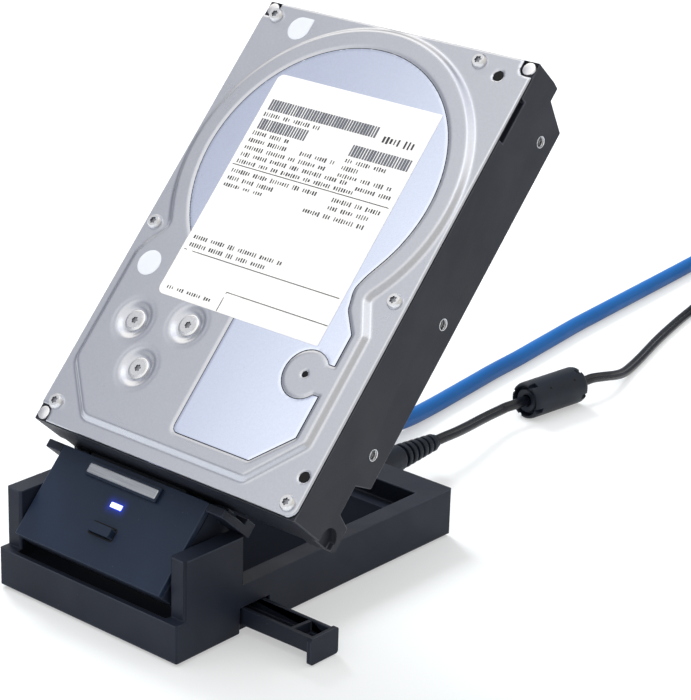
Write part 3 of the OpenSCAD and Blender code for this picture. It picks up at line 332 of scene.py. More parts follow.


# Bevelled faces take a lighter edge tone: partly edge wear, partly a painted highlight along the rounded edges.
def makeEdgeWearAndSheen():
    group, entry, leave = newGroup("edgeWearAndSheen", {"Patchy": 0.5}, ["Rub"])
    edge = addNode(group, "ShaderNodeAttribute", attribute_name="edge").outputs["Fac"]
    patch = noise(group, ownPlace(group), edgeWearSheenLook["scale"], edgeWearSheenLook["detail"])
    keep = mixValue(group, entry["Patchy"], 1.0, spread(group, patch, *edgeWearSheenLook["hold"]))
    feed(group, leave, {"Rub": times(group, edge, keep)})
    return group


def makeDrawnStreaks():
    group, entry, leave = newGroup("drawnStreaks", {"Stretch": (1.0, 1.0, 1.0), "Scale": 900.0}, ["Streak", "Cloud"])
    place = ownPlace(group)
    pulled = addNode(group, "ShaderNodeVectorMath", {0: place, 1: entry["Stretch"]}, operation="MULTIPLY")
    streak = noise(group, pulled.outputs[0], entry["Scale"], streakLook["detail"])
    cloud = noise(group, place, streakLook["cloudScale"], streakLook["cloudDetail"])
    feed(group, leave, {
        "Streak": spread(group, streak, *streakLook["range"]), "Cloud": spread(group, cloud, *streakLook["range"])})
    return group


mouldedGrain = makeMouldedGrain()
handledMarks = makeHandledMarks()
edgeWearAndSheen = makeEdgeWearAndSheen()
drawnStreaks = makeDrawnStreaks()

# Finishes
finishes = {}
handled = {"plastic": 18.0, "metal": 22.0, "paper": 26.0}  # spread of the marks in mm
dustTints = {
    "grey": (104, 106, 110), "cableBlue": (130, 160, 196), "paperWhite": (214, 214, 214), "sealWhite": (200, 204, 214),
}
recessPaintedShade = {"screwSteel": (140, 142, 148)}
coat = {"plastic": 0.0, "paper": 0.12, "roughness": 0.3}
plastics = [  # name, dark, pale, worn edge tone that is also a painted highlight, its share, roughness, grain in mm, its depth in microns, dust, specular level
    ("basePlastic", (28, 33, 46), (33, 39, 53), (62, 68, 82), 0.6, (0.44, 0.56), 0.35, 12, 0.3, 0.2),
    ("panelPlastic", (28, 40, 60), (33, 46, 67), (62, 74, 94), 0.5, (0.4, 0.5), 0.3, 10, 0.3, 0.22),
    ("castingCoat", (34, 37, 47), (40, 43, 54), (92, 95, 104), 0.6, (0.42, 0.54), 0.6, 20, 0.5, 0.25),
    ("footRubber", (23, 23, 24), (29, 29, 30), (46, 46, 47), 0.3, (0.7, 0.85), 0.5, 30, 0.6, 0.5),
    ("chipBlack", (24, 24, 26), (30, 30, 32), (50, 50, 52), 0.3, (0.45, 0.6), 0.2, 12, 0.2, 0.5),
    ("plugBlack", (19, 26, 38), (24, 32, 45), (54, 61, 74), 0.35, (0.42, 0.55), 0.3, 14, 0.25, 0.28),
    ("cableBlack", (15, 19, 27), (20, 24, 33), (46, 50, 58), 0.0, (0.22, 0.3), 0.5, 10, 0.25, 0.5),
    ("cableBlue", (0, 86, 158), (3, 98, 174), (36, 104, 172), 0.2, (0.4, 0.52), 0.6, 15, 0.25, 0.35),
    ("printInk", (38, 40, 48), (48, 50, 58), (60, 60, 64), 0.0, (0.5, 0.6), 0.2, 4, 0.1, 0.5),
    ("codeInk", (92, 96, 108), (104, 108, 120), (110, 112, 120), 0.0, (0.5, 0.6), 0.2, 4, 0.1, 0.5),
    # This dark finish serves dark seams and parts, and also painted shade in the cover's holes and round the button.
    ("seamDark", (18, 18, 20), (24, 24, 26), (40, 40, 42), 0.0, (0.6, 0.75), 0.4, 10, 0.2, 0.2),
]
metals = [  # name, dark, pale, stretch, scale, cloud tint, cloud, dust tint, dust, roughness, depth in microns, scratch
    ("coverSilver", (191, 194, 203), (197, 200, 209), (1, 1, 1), 1500, (189, 192, 201), 0.25,
     (140, 140, 142), 0.3, (0.27, 0.32), 0.4, 0.02),
    ("foilBright", (219, 226, 245), (223, 230, 249), (1, 1, 1), 1200, (216, 223, 243), 0.25,
     (140, 144, 152), 0.3, (0.08, 0.12), 0.3, 0.03),
    ("screwSteel", (214, 215, 219), (230, 231, 235), (1, 1, 1), 2400, (196, 196, 198), 0.2,
     (110, 108, 104), 0.3, (0.26, 0.34), 2, 0.1),
    ("postBright", (222, 222, 226), (234, 234, 238), (1, 1, 1), 1800, (206, 206, 212), 0.2,
     (130, 130, 134), 0.2, (0.3, 0.4), 1, 0.1),
    ("socketSteel", (178, 180, 184), (204, 206, 210), (1, 0.1, 1), 2000, (160, 162, 166), 0.2,
     (110, 110, 112), 0.2, (0.24, 0.32), 0.5, 0.06),
    ("badgeSilver", (150, 153, 160), (178, 181, 188), (0.03, 1, 1), 3200, (156, 160, 168), 0.2,
     (110, 110, 114), 0.2, (0.26, 0.36), 1.5, 0.1),
    ("goldContact", (206, 168, 90), (228, 192, 112), (1, 1, 1), 1500, (190, 150, 80), 0.2,
     (110, 90, 50), 0.1, (0.2, 0.3), 1, 0.1),
]
papers = [  # name, dark, pale, and what both have in common, in the order of the plastics
    (name, dark, pale, pale, 0.0, (0.55, 0.42), 0.25, 6, 0.4, 0.5, handled["paper"], coat["paper"])
    for name, dark, pale in (
        ("paperWhite", (243, 243, 244), (250, 250, 250)), ("sealWhite", (222, 227, 238), (230, 235, 245)))
]
board = {
    "mask": (24, 74, 44), "trace": (38, 102, 62), "via": (150, 152, 120), "depth": 30,
    "roughness": 0.34, "coat": 0.2, "blockScale": 300.0, "blockGap": 0.06, "block": (1.6, 0.3),
    "laneScale": 190.0, "lane": (0.55, 0.7), "viaScale": 330.0, "viaSize": (0.1, 0.16),
}


def newFinish(name, constants):
    material = finishes[name] = bpy.data.materials.new(name)
    material.use_nodes = True
    shader = material.node_tree.nodes["Principled BSDF"]
    for socket, value in constants.items():
        shader.inputs[socket].default_value = value
    return material.node_tree, shader


def copyFinish(source, name):
    material = finishes[name] = finishes[source].copy()
    material.name = name
    return material.node_tree, material.node_tree.nodes["Principled BSDF"]


def addBump(tree, shader, height, depth):
    bump = addNode(tree, "ShaderNodeBump", {"Height": height, "Distance": depth * micron, "Strength": 1.0})
    feed(tree, shader, {"Normal": bump.outputs["Normal"]})


def plasticFinish(name, dark, pale, edge, wornSheenShare, roughness, grainSize, depth, dust, specular,
                  wiped=handled["plastic"], coated=coat["plastic"]):
    tree, shader = newFinish(name, {
        "Specular IOR Level": specular, "Coat Weight": coated, "Coat Roughness": coat["roughness"]})
    grain = placeGroup(tree, mouldedGrain, {"Grain Size": grainSize})
    marks = placeGroup(tree, handledMarks, {"Spread": wiped})
    wornSheen = placeGroup(tree, edgeWearAndSheen)
    dustTint = dustTints.get(name, dustTints["grey"])
    tone = mixTone(tree, grain["Tone"], shade(*dark), shade(*pale))
    tone = mixTone(tree, times(tree, marks["Speck"], dust), tone, shade(*dustTint))
    # The lighter edge tone is worn edges and a painted highlight.
    tone = mixTone(tree, times(tree, wornSheen["Rub"], wornSheenShare), tone, shade(*edge))
    low, high = roughness
    feed(tree, shader, {"Base Color": tone, "Roughness": spread(tree, marks["Smudge"], 0.0, 1.0, high, low)})
    addBump(tree, shader, grain["Height"], depth)


def metalFinish(name, dark, pale, stretch, scale, cloudTint, cloud, dustTint, dust, roughness, depth, scratch):
    tree, shader = newFinish(name, {"Metallic": 1.0})
    streaks = placeGroup(tree, drawnStreaks, {"Stretch": stretch, "Scale": scale})
    marks = placeGroup(tree, handledMarks, {"Spread": handled["metal"]})
    tone = mixTone(tree, streaks["Streak"], shade(*dark), shade(*pale))
    tone = mixTone(tree, times(tree, streaks["Cloud"], cloud), tone, shade(*cloudTint))
    tone = mixTone(tree, times(tree, marks["Speck"], dust), tone, shade(*dustTint))
    # Star recesses are painted darker: painted shade inside the recess.
    if name in recessPaintedShade:
        sunk = addNode(tree, "ShaderNodeAttribute", attribute_name="recess")
        tone = mixTone(tree, sunk.outputs["Fac"], tone, shade(*recessPaintedShade[name]))
    gloss = spread(tree, marks["Smudge"], 0.0, 1.0, *roughness)
    gloss = calc(tree, "ADD", gloss, times(tree, marks["Scratch"], scratch))
    feed(tree, shader, {"Base Color": tone, "Roughness": gloss})
    addBump(tree, shader, streaks["Streak"], depth)


def boardFinish(name):
    tree, shader = newFinish(name, {
        "Roughness": board["roughness"], "Coat Weight": board["coat"], "Coat Roughness": board["coat"]})
    place = ownPlace(tree)
    blocks = addNode(tree, "ShaderNodeTexBrick", {
        "Vector": place, "Scale": board["blockScale"], "Mortar Size": board["blockGap"],
        "Color1": (1, 1, 1, 1), "Color2": (0, 0, 0, 1), "Mortar": (0.5, 0.5, 0.5, 1),
        "Brick Width": board["block"][0], "Row Height": board["block"][1]})
    lanes = addNode(tree, "ShaderNodeTexWave", {"Vector": place, "Scale": board["laneScale"], "Distortion": 0.0})
    traces = times(tree, spread(tree, lanes.outputs["Fac"], *board["lane"]), blocks.outputs["Color"])
    dots = addNode(tree, "ShaderNodeTexVoronoi", {"Vector": place, "Scale": board["viaScale"]})
    via = spread(tree, dots.outputs["Distance"], *board["viaSize"], 1.0, 0.0)
    tone = mixTone(tree, traces, shade(*board["mask"]), shade(*board["trace"]))
    feed(tree, shader, {"Base Color": mixTone(tree, via, tone, shade(*board["via"]))})
    addBump(tree, shader, traces, board["depth"])


for row in plastics + papers:
    plasticFinish(*row)
for row in metals:
    metalFinish(*row)
boardFinish("boardGreen")
print("finishes made")


# Piece helpers
def settle(obj, finish, body, slotName, *nodes):
    obj.data.materials.clear()
    obj.data.materials.append(finishes[finish])
    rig.ride(obj, body)
    if nodes:
        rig.replaces(obj, *nodes)
    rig.slot(obj, slotName)
    return obj


def newPiece(name, mesh, finish, body, slotName, *nodes):
    if isinstance(mesh, list):
        mesh = joinMeshes(name, mesh)
    return settle(addObject(name, mesh), finish, body, slotName, *nodes)


def dress(finish, *nodes):
    for node in nodes:
        for slotHolder in frame["nodes"][node].material_slots:
            slotHolder.material = finishes[finish]


def smoothMesh(mesh, sharpAngle=38):
    mesh.shade_smooth()
    mesh.set_sharp_from_angle(angle=radians(sharpAngle))
    return mesh


def toMesh(shape, name):
    mesh = bpy.data.meshes.new(name)
    shape.to_mesh(mesh)
    shape.free()
    return mesh


def toShape(name, points, faces):
    mesh = bpy.data.meshes.new(name)
    mesh.from_pydata(points, [], faces)
    shape = bmesh.new()
    shape.from_mesh(mesh)
    bpy.data.meshes.remove(mesh)
    return shape


def meshFrom(name, points, faces, space=Matrix.Identity(4), sharpAngle=38):
    shape = toShape(name, [tuple(p) for p in points], faces)
    bmesh.ops.remove_doubles(shape, verts=shape.verts, dist=1e-5)
    bmesh.ops.recalc_face_normals(shape, faces=shape.faces)
    mesh = toMesh(shape, name)
    mesh.transform(space)
    return smoothMesh(mesh, sharpAngle)


def joinMeshes(name, meshes, sharpAngle=38):
    shape = bmesh.new()
    for mesh in meshes:
        shape.from_mesh(mesh)
        bpy.data.meshes.remove(mesh)
    return smoothMesh(toMesh(shape, name), sharpAngle)


def blockMesh(name, spots, size):
    shape = bmesh.new()
    for spot in spots:
        bmesh.ops.create_cube(shape, size=1.0, matrix=spot @ Matrix.Diagonal((*size, 1)))
    return toMesh(shape, name)


def ringFaces(rings, sides, capped=False):
    faces = [(k + i, k + (i + 1) % sides, k + sides + (i + 1) % sides, k + sides + i)
             for k in range(0, (rings - 1) * sides, sides) for i in range(sides)]
    if capped:
        faces += [tuple(range(sides)), tuple(range((rings - 1) * sides, rings * sides))]
    return faces


def latheMesh(name, profile, space=Matrix.Identity(4), sides=40):
    turns = [2 * pi * i / sides for i in range(sides)]
    points = [(radius * cos(a), radius * sin(a), height) for radius, height in profile for a in turns]
    return meshFrom(name, points, ringFaces(len(profile), sides), space)


def stackMesh(name, space, size, corner, rows, steps=6):
    leastRadius = 0.05
    points = []
    for height, inset in rows:
        radius = max(corner - inset, leastRadius)
        halfX, halfY = (s / 2 - inset - radius for s in size)
        for k, (sx, sy) in enumerate(((1, 1), (-1, 1), (-1, -1), (1, -1))):
            for i in range(steps + 1):
                a = pi / 2 * (k + i / steps)
                points.append((sx * halfX + radius * cos(a), sy * halfY + radius * sin(a), height))
    return meshFrom(name, points, ringFaces(len(rows), 4 * (steps + 1), True), space)


def bakeDown(obj):
    bpy.context.view_layer.update()
    seen = obj.evaluated_get(bpy.context.evaluated_depsgraph_get())
    mesh = bpy.data.meshes.new_from_object(seen)
    obj.modifiers.clear()
    return mesh


rounding = {"weld": 2e-6, "flat": 1.5, "sharp": 35, "segments": 2, "edgeRoom": 4, "faceRoom": 2.5, "shown": 50}


def roundedPiece(node, name, width, finish, body, slotName):
    width = width * mm
    shape = bmesh.new()
    shape.from_mesh(frame["nodes"][node].data)
    bmesh.ops.remove_doubles(shape, verts=shape.verts, dist=rounding["weld"])
    bmesh.ops.dissolve_limit(
        shape, angle_limit=radians(rounding["flat"]), verts=shape.verts, edges=shape.edges, delimit=set())
    layer = shape.faces.layers.float.new("edge")

    def isRounded(edge):
        if len(edge.link_faces) != 2 or edge.calc_face_angle(0) <= radians(rounding["sharp"]):
            return False
        long = edge.calc_length()
        room = rounding["faceRoom"] * width
        return long > rounding["edgeRoom"] * width and all(f.calc_area() / long > room for f in edge.link_faces)

    cut = bmesh.ops.bevel(
        shape, geom=[e for e in shape.edges if isRounded(e)], offset=width, offset_type="OFFSET",
        segments=rounding["segments"], profile=0.5, affect="EDGES", clamp_overlap=False, loop_slide=True)
    for face in cut["faces"]:
        if face.is_valid:
            face[layer] = 1.0
    bmesh.ops.dissolve_degenerate(shape, edges=shape.edges, dist=rounding["weld"])
    obj = addObject(name, smoothMesh(toMesh(shape, name), rounding["shown"]))
    obj.modifiers.new("faceWeights", "WEIGHTED_NORMAL").keep_sharp = True
    obj.data = bakeDown(obj)
    return settle(obj, finish, body, slotName, node)


# Cords. The routes lie where the solids do.
dataCord = {
    "diameter": 5.8, "roundSteps": 6,
    "route": [
        (-26, 142, 6.8), (-26, 148, 6.8), (-26.5, 152, 5.4), (-28, 164, 3.7), (-30, 178, 3), (-32, 193, 2.9),
        (-34, 208, 2.9), (-36, 223, 2.9), (-37.5, 238, 2.9), (-39.5, 253, 2.9), (-41.5, 268, 2.9),
        (-43.5, 283, 2.9), (-45, 298, 2.9), (-46.5, 313, 2.9), (-48, 328, 2.9), (-49.5, 343, 2.9),
        (-51, 358, 2.9), (-52.5, 372, 2.9), (-54, 386, 2.9), (-55.6, 400, 3.1), (-56.7, 412, 3.5),
        (-57, 421, 3.9), (-57, 428.2, 3.9)],
    "coil": {"centre": (-19.8, 434), "outer": 37.2, "turns": 3.25, "low": 3.9, "tail": 44, "tailHeight": 4.6},
}
powerCord = {
    "diameter": 3.6, "core": 1.05, "coreSides": 11, "roll": 45, "nearest": 0.05, "beyondSleeve": 4,
    "front": [
        (-0.5, 145, 9.5), (-0.5, 150, 9.5), (-1.1, 157, 9), (-2.4, 165, 8.3), (-4, 173, 7.6), (-5.3, 181, 7),
        (-6.1, 188, 6.6)],
    "rear": [
        (-0.9, 242, 5.3), (-1.3, 249, 3.7), (-2.6, 256, 2.4), (-4.8, 264, 1.9), (-7.4, 273, 1.8),
        (-10.2, 282, 1.8), (-13, 291, 1.8), (-15.6, 300, 1.8), (-18, 309, 1.8), (-20.3, 318, 1.8),
        (-22.4, 327, 1.8), (-24.3, 335, 1.8), (-25.8, 342, 2), (-26.8, 349, 2.4), (-27, 354, 2.8),
        (-27, 358.4, 2.8)],
    "coil": {"centre": (0.6125, 362), "outer": 27.6125, "turns": 7.25, "low": 2.8, "tail": 44, "tailHeight": 7},
}
laying = {"gap": 0.6, "pieces": 5, "turnSteps": 48, "tailSteps": 20, "tailRise": 1.15}
ferrite = {"middle": (-3.8, 213, 6.5), "turn": 6.6, "length": 36, "radius": 6.5}
ferriteWay = Vector((sin(radians(ferrite["turn"])), cos(radians(ferrite["turn"])), 0))
ferriteMiddle = Vector(ferrite["middle"])


def ease(t):
    t = np.clip(t, 0, 1)
    return t * t * (3 - 2 * t)


def smoothPath(points):
    path = []
    ends = [points[0] * 2 - points[1]] + points + [points[-1] * 2 - points[-2]]
    for a, b, c, d in zip(ends, ends[1:], ends[2:], ends[3:]):
        for i in range(laying["pieces"]):
            t = i / laying["pieces"]
            path.append(0.5 * (2 * b + (c - a) * t + (2 * a - 5 * b + 4 * c - d) * t * t
                               + (3 * b - a - 3 * c + d) * t ** 3))
    return path + [points[-1]]


def coilPath(coil, thick):
    pitch, turns = thick + laying["gap"], coil["turns"]
    path = []
    count = int(turns * laying["turnSteps"])
    for i in range(count + 1):
        t = turns * i / count
        angle = radians(180 - 360 * t)
        radius = coil["outer"] - pitch * min(t, turns - t)
        height = coil["low"] + pitch * ease(2 * (t - turns / 2) + 0.5)
        x, y = coil["centre"]
        path.append(Vector((x + radius * cos(angle), y + radius * sin(angle), height)))
    last, tail = path[-1], coil["tail"]
    for i in range(1, laying["tailSteps"] + 1):
        s = i / laying["tailSteps"]
        rise = (coil["tailHeight"] - last.z) * ease(laying["tailRise"] * s)
        path.append(last + Vector((tail * s * sin(angle), -tail * s * cos(angle), rise)))
    return path


def pathLength(path):
    return sum((b - a).length for a, b in zip(path, path[1:]))


def makeDataCord():
    path = smoothPath([Vector(p) for p in dataCord["route"]]) + coilPath(dataCord["coil"], dataCord["diameter"])
    path = [p * mm for p in path]
    line = bpy.data.curves.new("dataCable", "CURVE")
    line.dimensions = "3D"
    line.bevel_depth, line.bevel_resolution = dataCord["diameter"] / 2 * mm, dataCord["roundSteps"]
    line.use_fill_caps = True
    spline = line.splines.new("POLY")
    spline.points.add(len(path) - 1)
    for point, place in zip(spline.points, path):
        point.co = (*place, 1.0)
    spline.use_smooth = True
    return newPiece("dataCable", line, "cableBlue", "base", "cable_blue", "usb_cable", "usb_coil"), path


def twinProfile(core, width, sides):
    apart = width / 2 - core
    reach = acos(-apart / core)
    turns = [-reach + 2 * reach * i / (sides - 1) for i in range(sides - 1)]
    right = [(apart + core * cos(a), core * sin(a)) for a in turns]
    return right + [(-x, -y) for x, y in right]


def makePowerCord():
    reach = ferrite["length"] / 2
    outside = reach + powerCord["beyondSleeve"]
    through = [ferriteMiddle + ferriteWay * d for d in (-outside, -reach, -reach / 3, reach / 3, reach, outside)]
    route = [Vector(p) for p in powerCord["front"]] + through + [Vector(p) for p in powerCord["rear"]]
    path = smoothPath(route) + coilPath(powerCord["coil"], powerCord["diameter"])
    kept = [path[0]]
    for p in path[1:]:
        if (p - kept[-1]).length > powerCord["nearest"]:
            kept.append(p)
    profile = twinProfile(powerCord["core"], powerCord["diameter"], powerCord["coreSides"])
    roll = radians(powerCord["roll"])
    points = []
    for i, p in enumerate(kept):
        way = (kept[min(i + 1, len(kept) - 1)] - kept[max(i - 1, 0)]).normalized()
        side = way.cross(Vector((0, 0, 1))).normalized()
        up = side.cross(way)
        across = side * cos(roll) - up * sin(roll)
        over = side * sin(roll) + up * cos(roll)
        points += [p + across * x + over * y for x, y in profile]
    mesh = meshFrom("powerLead", points, ringFaces(len(kept), len(profile), True), tableSpace, sharpAngle=60)
    lead = newPiece(
        "powerLead", mesh, "cableBlack", "base", "cable_black", "dc_lead_front", "dc_lead_rear", "dc_coil")
    return lead, [p * mm for p in kept]


dataCable, dataPath = makeDataCord()
powerLead, powerPath = makePowerCord()
print("cords laid, %.2f m and %.2f m" % (pathLength(dataPath), pathLength(powerPath)))


# Geometry Nodes helpers. Each tree sets copies of one form on points.
def newTree(name, inputs):
    tree = bpy.data.node_groups.new(name, "GeometryNodeTree")
    for label, kind in {"Geometry": "Geometry", **inputs, "Material": "Material"}.items():
        tree.interface.new_socket(label, in_out="INPUT", socket_type="NodeSocket" + kind)
    tree.interface.new_socket("Geometry", in_out="OUTPUT", socket_type="NodeSocketGeometry")
    return tree, addNode(tree, "NodeGroupInput").outputs, addNode(tree, "NodeGroupOutput")


def geo(tree, kind, inputs=None, **settings):
    return addNode(tree, "GeometryNode" + kind, inputs, **settings).outputs[0]


def drawVector(tree, low, high, seed):
    inputs = {"Min": low, "Max": high, "Seed": seed}
    return addNode(tree, "FunctionNodeRandomValue", inputs, data_type="FLOAT_VECTOR").outputs[0]


def endTree(tree, entry, leave, inputs):
    real = geo(tree, "RealizeInstances", {0: geo(tree, "InstanceOnPoints", inputs)})
    coloured = geo(tree, "SetMaterial", {"Geometry": real, "Material": entry["Material"]})
    tree.links.new(coloured, leave.inputs[0])
    return tree


def runTree(tree, name, finish, values, points=()):
    mesh = bpy.data.meshes.new(name)
    mesh.from_pydata([tuple(p) for p in points], [], [])
    obj = addObject(name, mesh)
    modifier = obj.modifiers.new(name, "NODES")
    modifier.node_group = tree
    values = {**values, "Material": finishes[finish]}
    for item in tree.interface.items_tree:
        if item.in_out == "INPUT" and item.name in values:
            modifier[item.identifier] = values[item.name]
    made = bakeDown(obj)
    bpy.data.objects.remove(obj)
    return made


def makeScatterTree():
    fullTurn = 6.283
    tree, entry, leave = newTree("screwScatter", {"Head": "Object", "Seed": "Int"})
    head = addNode(tree, "GeometryNodeObjectInfo", {"Object": entry["Head"]})
    turn = drawVector(tree, (0.0, 0.0, 0.0), (0.0, 0.0, fullTurn), entry["Seed"])
    return endTree(tree, entry, leave, {
        "Points": entry["Geometry"], "Instance": head.outputs["Geometry"], "Rotation": turn})


def makeStripeTree():
    tree, entry, leave = newTree("barStripes", {
        "Bars": "Int", "Start": "Vector", "Step": "Vector", "Thinnest": "Vector", "Thickest": "Vector", "Seed": "Int"})
    line = geo(tree, "MeshLine", {"Count": entry["Bars"], "Start Location": entry["Start"], "Offset": entry["Step"]})
    bar = geo(tree, "MeshCube", {"Size": (1.0, 1.0, 1.0)})
    size = drawVector(tree, entry["Thinnest"], entry["Thickest"], entry["Seed"])
    return endTree(tree, entry, leave, {"Points": line, "Instance": bar, "Scale": size})


def makeRibTree():
    ringSides, softShare, softSteps = 40, 0.22, 3
    tree, entry, leave = newTree("reliefRibs", {
        "Count": "Int", "Pitch": "Float", "Radius": "Float", "Taper": "Float", "Thickness": "Float"})
    offset = addNode(tree, "ShaderNodeCombineXYZ", {"Z": entry["Pitch"]})
    line = geo(tree, "MeshLine", {"Count": entry["Count"], "Offset": offset.outputs[0]})
    ring = geo(tree, "CurvePrimitiveCircle", {"Resolution": ringSides, "Radius": entry["Radius"]})
    block = geo(tree, "CurvePrimitiveQuadrilateral", {"Width": entry["Thickness"], "Height": entry["Thickness"]})
    soft = times(tree, entry["Thickness"], softShare)
    wire = geo(tree, "FilletCurve", {"Curve": block, "Radius": soft, "Count": softSteps}, mode="POLY")
    hoop = geo(tree, "CurveToMesh", {"Curve": ring, "Profile Curve": wire})
    wide = calc(tree, "SUBTRACT", 1.0, times(tree, geo(tree, "InputIndex"), entry["Taper"]))
    scale = addNode(tree, "ShaderNodeCombineXYZ", {"X": wide, "Y": wide, "Z": 1.0})
    return endTree(tree, entry, leave, {"Points": line, "Instance": hoop, "Scale": scale.outputs[0]})


def makeThreadTree():
    turnSteps, wireSides = 20, 6
    tree, entry, leave = newTree("holeThreads", {
        "Turns": "Float", "Radius": "Float", "Depth": "Float", "Wire": "Float"})
    coil = geo(tree, "CurveSpiral", {
        "Resolution": turnSteps, "Rotations": entry["Turns"], "Start Radius": entry["Radius"],
        "End Radius": entry["Radius"], "Height": entry["Depth"]})
    wire = geo(tree, "CurvePrimitiveCircle", {"Resolution": wireSides, "Radius": entry["Wire"]})
    thread = geo(tree, "CurveToMesh", {"Curve": coil, "Profile Curve": wire, "Fill Caps": True})
    return endTree(tree, entry, leave, {
        "Points": entry["Geometry"], "Instance": thread, "Rotation": (0.0, pi / 2, 0.0)})


screwScatter = makeScatterTree()
barStripes = makeStripeTree()
reliefRibs = makeRibTree()
holeThreads = makeThreadTree()

# Screw heads, made once in millimetres and scattered
star = {
    "sides": 72, "points": 6, "flare": 1.1, "flareDeep": 0.1, "taper": 0.96, "floor": 0.8, "reach": 1.05, "lip": 0.03,
}


def lobedHead(name, head):
    sides, lobes, drive = star["sides"], head["lobes"], head["drive"]
    top = head["profile"][-1][1]
    deep = top - head["recess"]
    rows = [(radius, height, 0.0) for radius, height in head["profile"]]
    rows += [(drive * star["flare"], top, lobes), (drive, top - star["flareDeep"], lobes),
             (drive * star["taper"], deep, lobes)]
    points = []
    for radius, height, wave in rows:
        for i in range(sides):
            a = 2 * pi * i / sides
            r = radius * (1 + wave * cos(star["points"] * a))
            points.append((r * cos(a), r * sin(a), height))
    middle = len(points)
    points += [(0, 0, top - head["recess"] * star["floor"]), (0, 0, head["profile"][0][1])]
    faces = ringFaces(len(rows), sides)
    for i in range(sides):
        j = (i + 1) % sides
        faces += [(middle - sides + i, middle - sides + j, middle), (j, i, middle + 1)]
    mesh = meshFrom(name, points, faces, sharpAngle=30)
    # Faces inside the star recess are marked, so the finish paints shade into them.
    sunk = mesh.attributes.new("recess", "FLOAT", "FACE")
    reach = drive * (star["reach"] + lobes)
    for face, mark in zip(mesh.polygons, sunk.data):
        inside = all(hypot(*mesh.vertices[v].co.xy) < reach for v in face.vertices)
        mark.value = float(inside and deep - star["flareDeep"] < face.center.z < top - star["lip"])
    return mesh


def scatterHeads(name, head, spots, seed, space, *nodes):
    pattern = addObject(name + "Pattern", lobedHead(name + "Head", head))
    mesh = runTree(screwScatter, name, "screwSteel", {"Head": pattern, "Seed": seed}, spots)
    bpy.data.objects.remove(pattern)
    mesh.transform(space)
    newPiece(name, smoothMesh(mesh, sharpAngle=40), "screwSteel", "drive", "screw_steel", *nodes)


# Relief: the height of a sheet is worked out from distances to the outlines of its forms.
def fillet(points, steps=5, most=0.49):
    rounded = []
    for before, here, after in zip(points[-1:] + points[:-1], points, points[1:] + points[:1]):
        corner, radius = Vector(here[:2]), here[2]
        back, ahead = Vector(before[:2]) - corner, Vector(after[:2]) - corner
        cut = min(radius / tan(back.angle(ahead) / 2), most * back.length, most * ahead.length)
        start, end = corner + back.normalized() * cut, corner + ahead.normalized() * cut
        for i in range(steps + 1):
            t = i / steps
            rounded.append(tuple(start * (1 - t) ** 2 + corner * 2 * t * (1 - t) + end * t * t))
    return rounded


def disc(u, v, centre, radius):
    return np.hypot(u - centre[0], v - centre[1]) - radius


def slab(u, v, low, high, corner):
    du = np.abs(u - (low[0] + high[0]) / 2) - ((high[0] - low[0]) / 2 - corner)
    dv = np.abs(v - (low[1] + high[1]) / 2) - ((high[1] - low[1]) / 2 - corner)
    return np.hypot(np.maximum(du, 0), np.maximum(dv, 0)) + np.minimum(np.maximum(du, dv), 0) - corner


def outline(u, v, points):
    nearest = np.full(u.shape, 1e9)
    inside = np.zeros(u.shape, bool)
    for (au, av), (bu, bv) in zip(points, points[1:] + points[:1]):
        eu, ev = bu - au, bv - av
        t = np.clip(((u - au) * eu + (v - av) * ev) / (eu * eu + ev * ev), 0, 1)
        nearest = np.minimum(nearest, np.hypot(u - au - t * eu, v - av - t * ev))
        crossing = (av > v) != (bv > v)
        inside ^= crossing & (u < au + (v - av) * eu / (ev if ev else 1e-9))
    return np.where(inside, -nearest, nearest)


def softMin(a, b, reach):
    h = np.clip(0.5 + 0.5 * (b - a) / reach, 0, 1)
    return b + (a - b) * h - reach * h * (1 - h)


def level(height):
    return lambda u, v: np.full(u.shape, height)


def around(middle, size, grow=0.0):
    return [[m + side * (s / 2 + grow) for m, s in zip(middle, size)] for side in (-1, 1)]


pressing = {"inside": 0.12, "probe": 0.02, "rounds": 4, "leastSlope": 0.3, "weld": 0.02, "sliver": 0.01, "shown": 50}


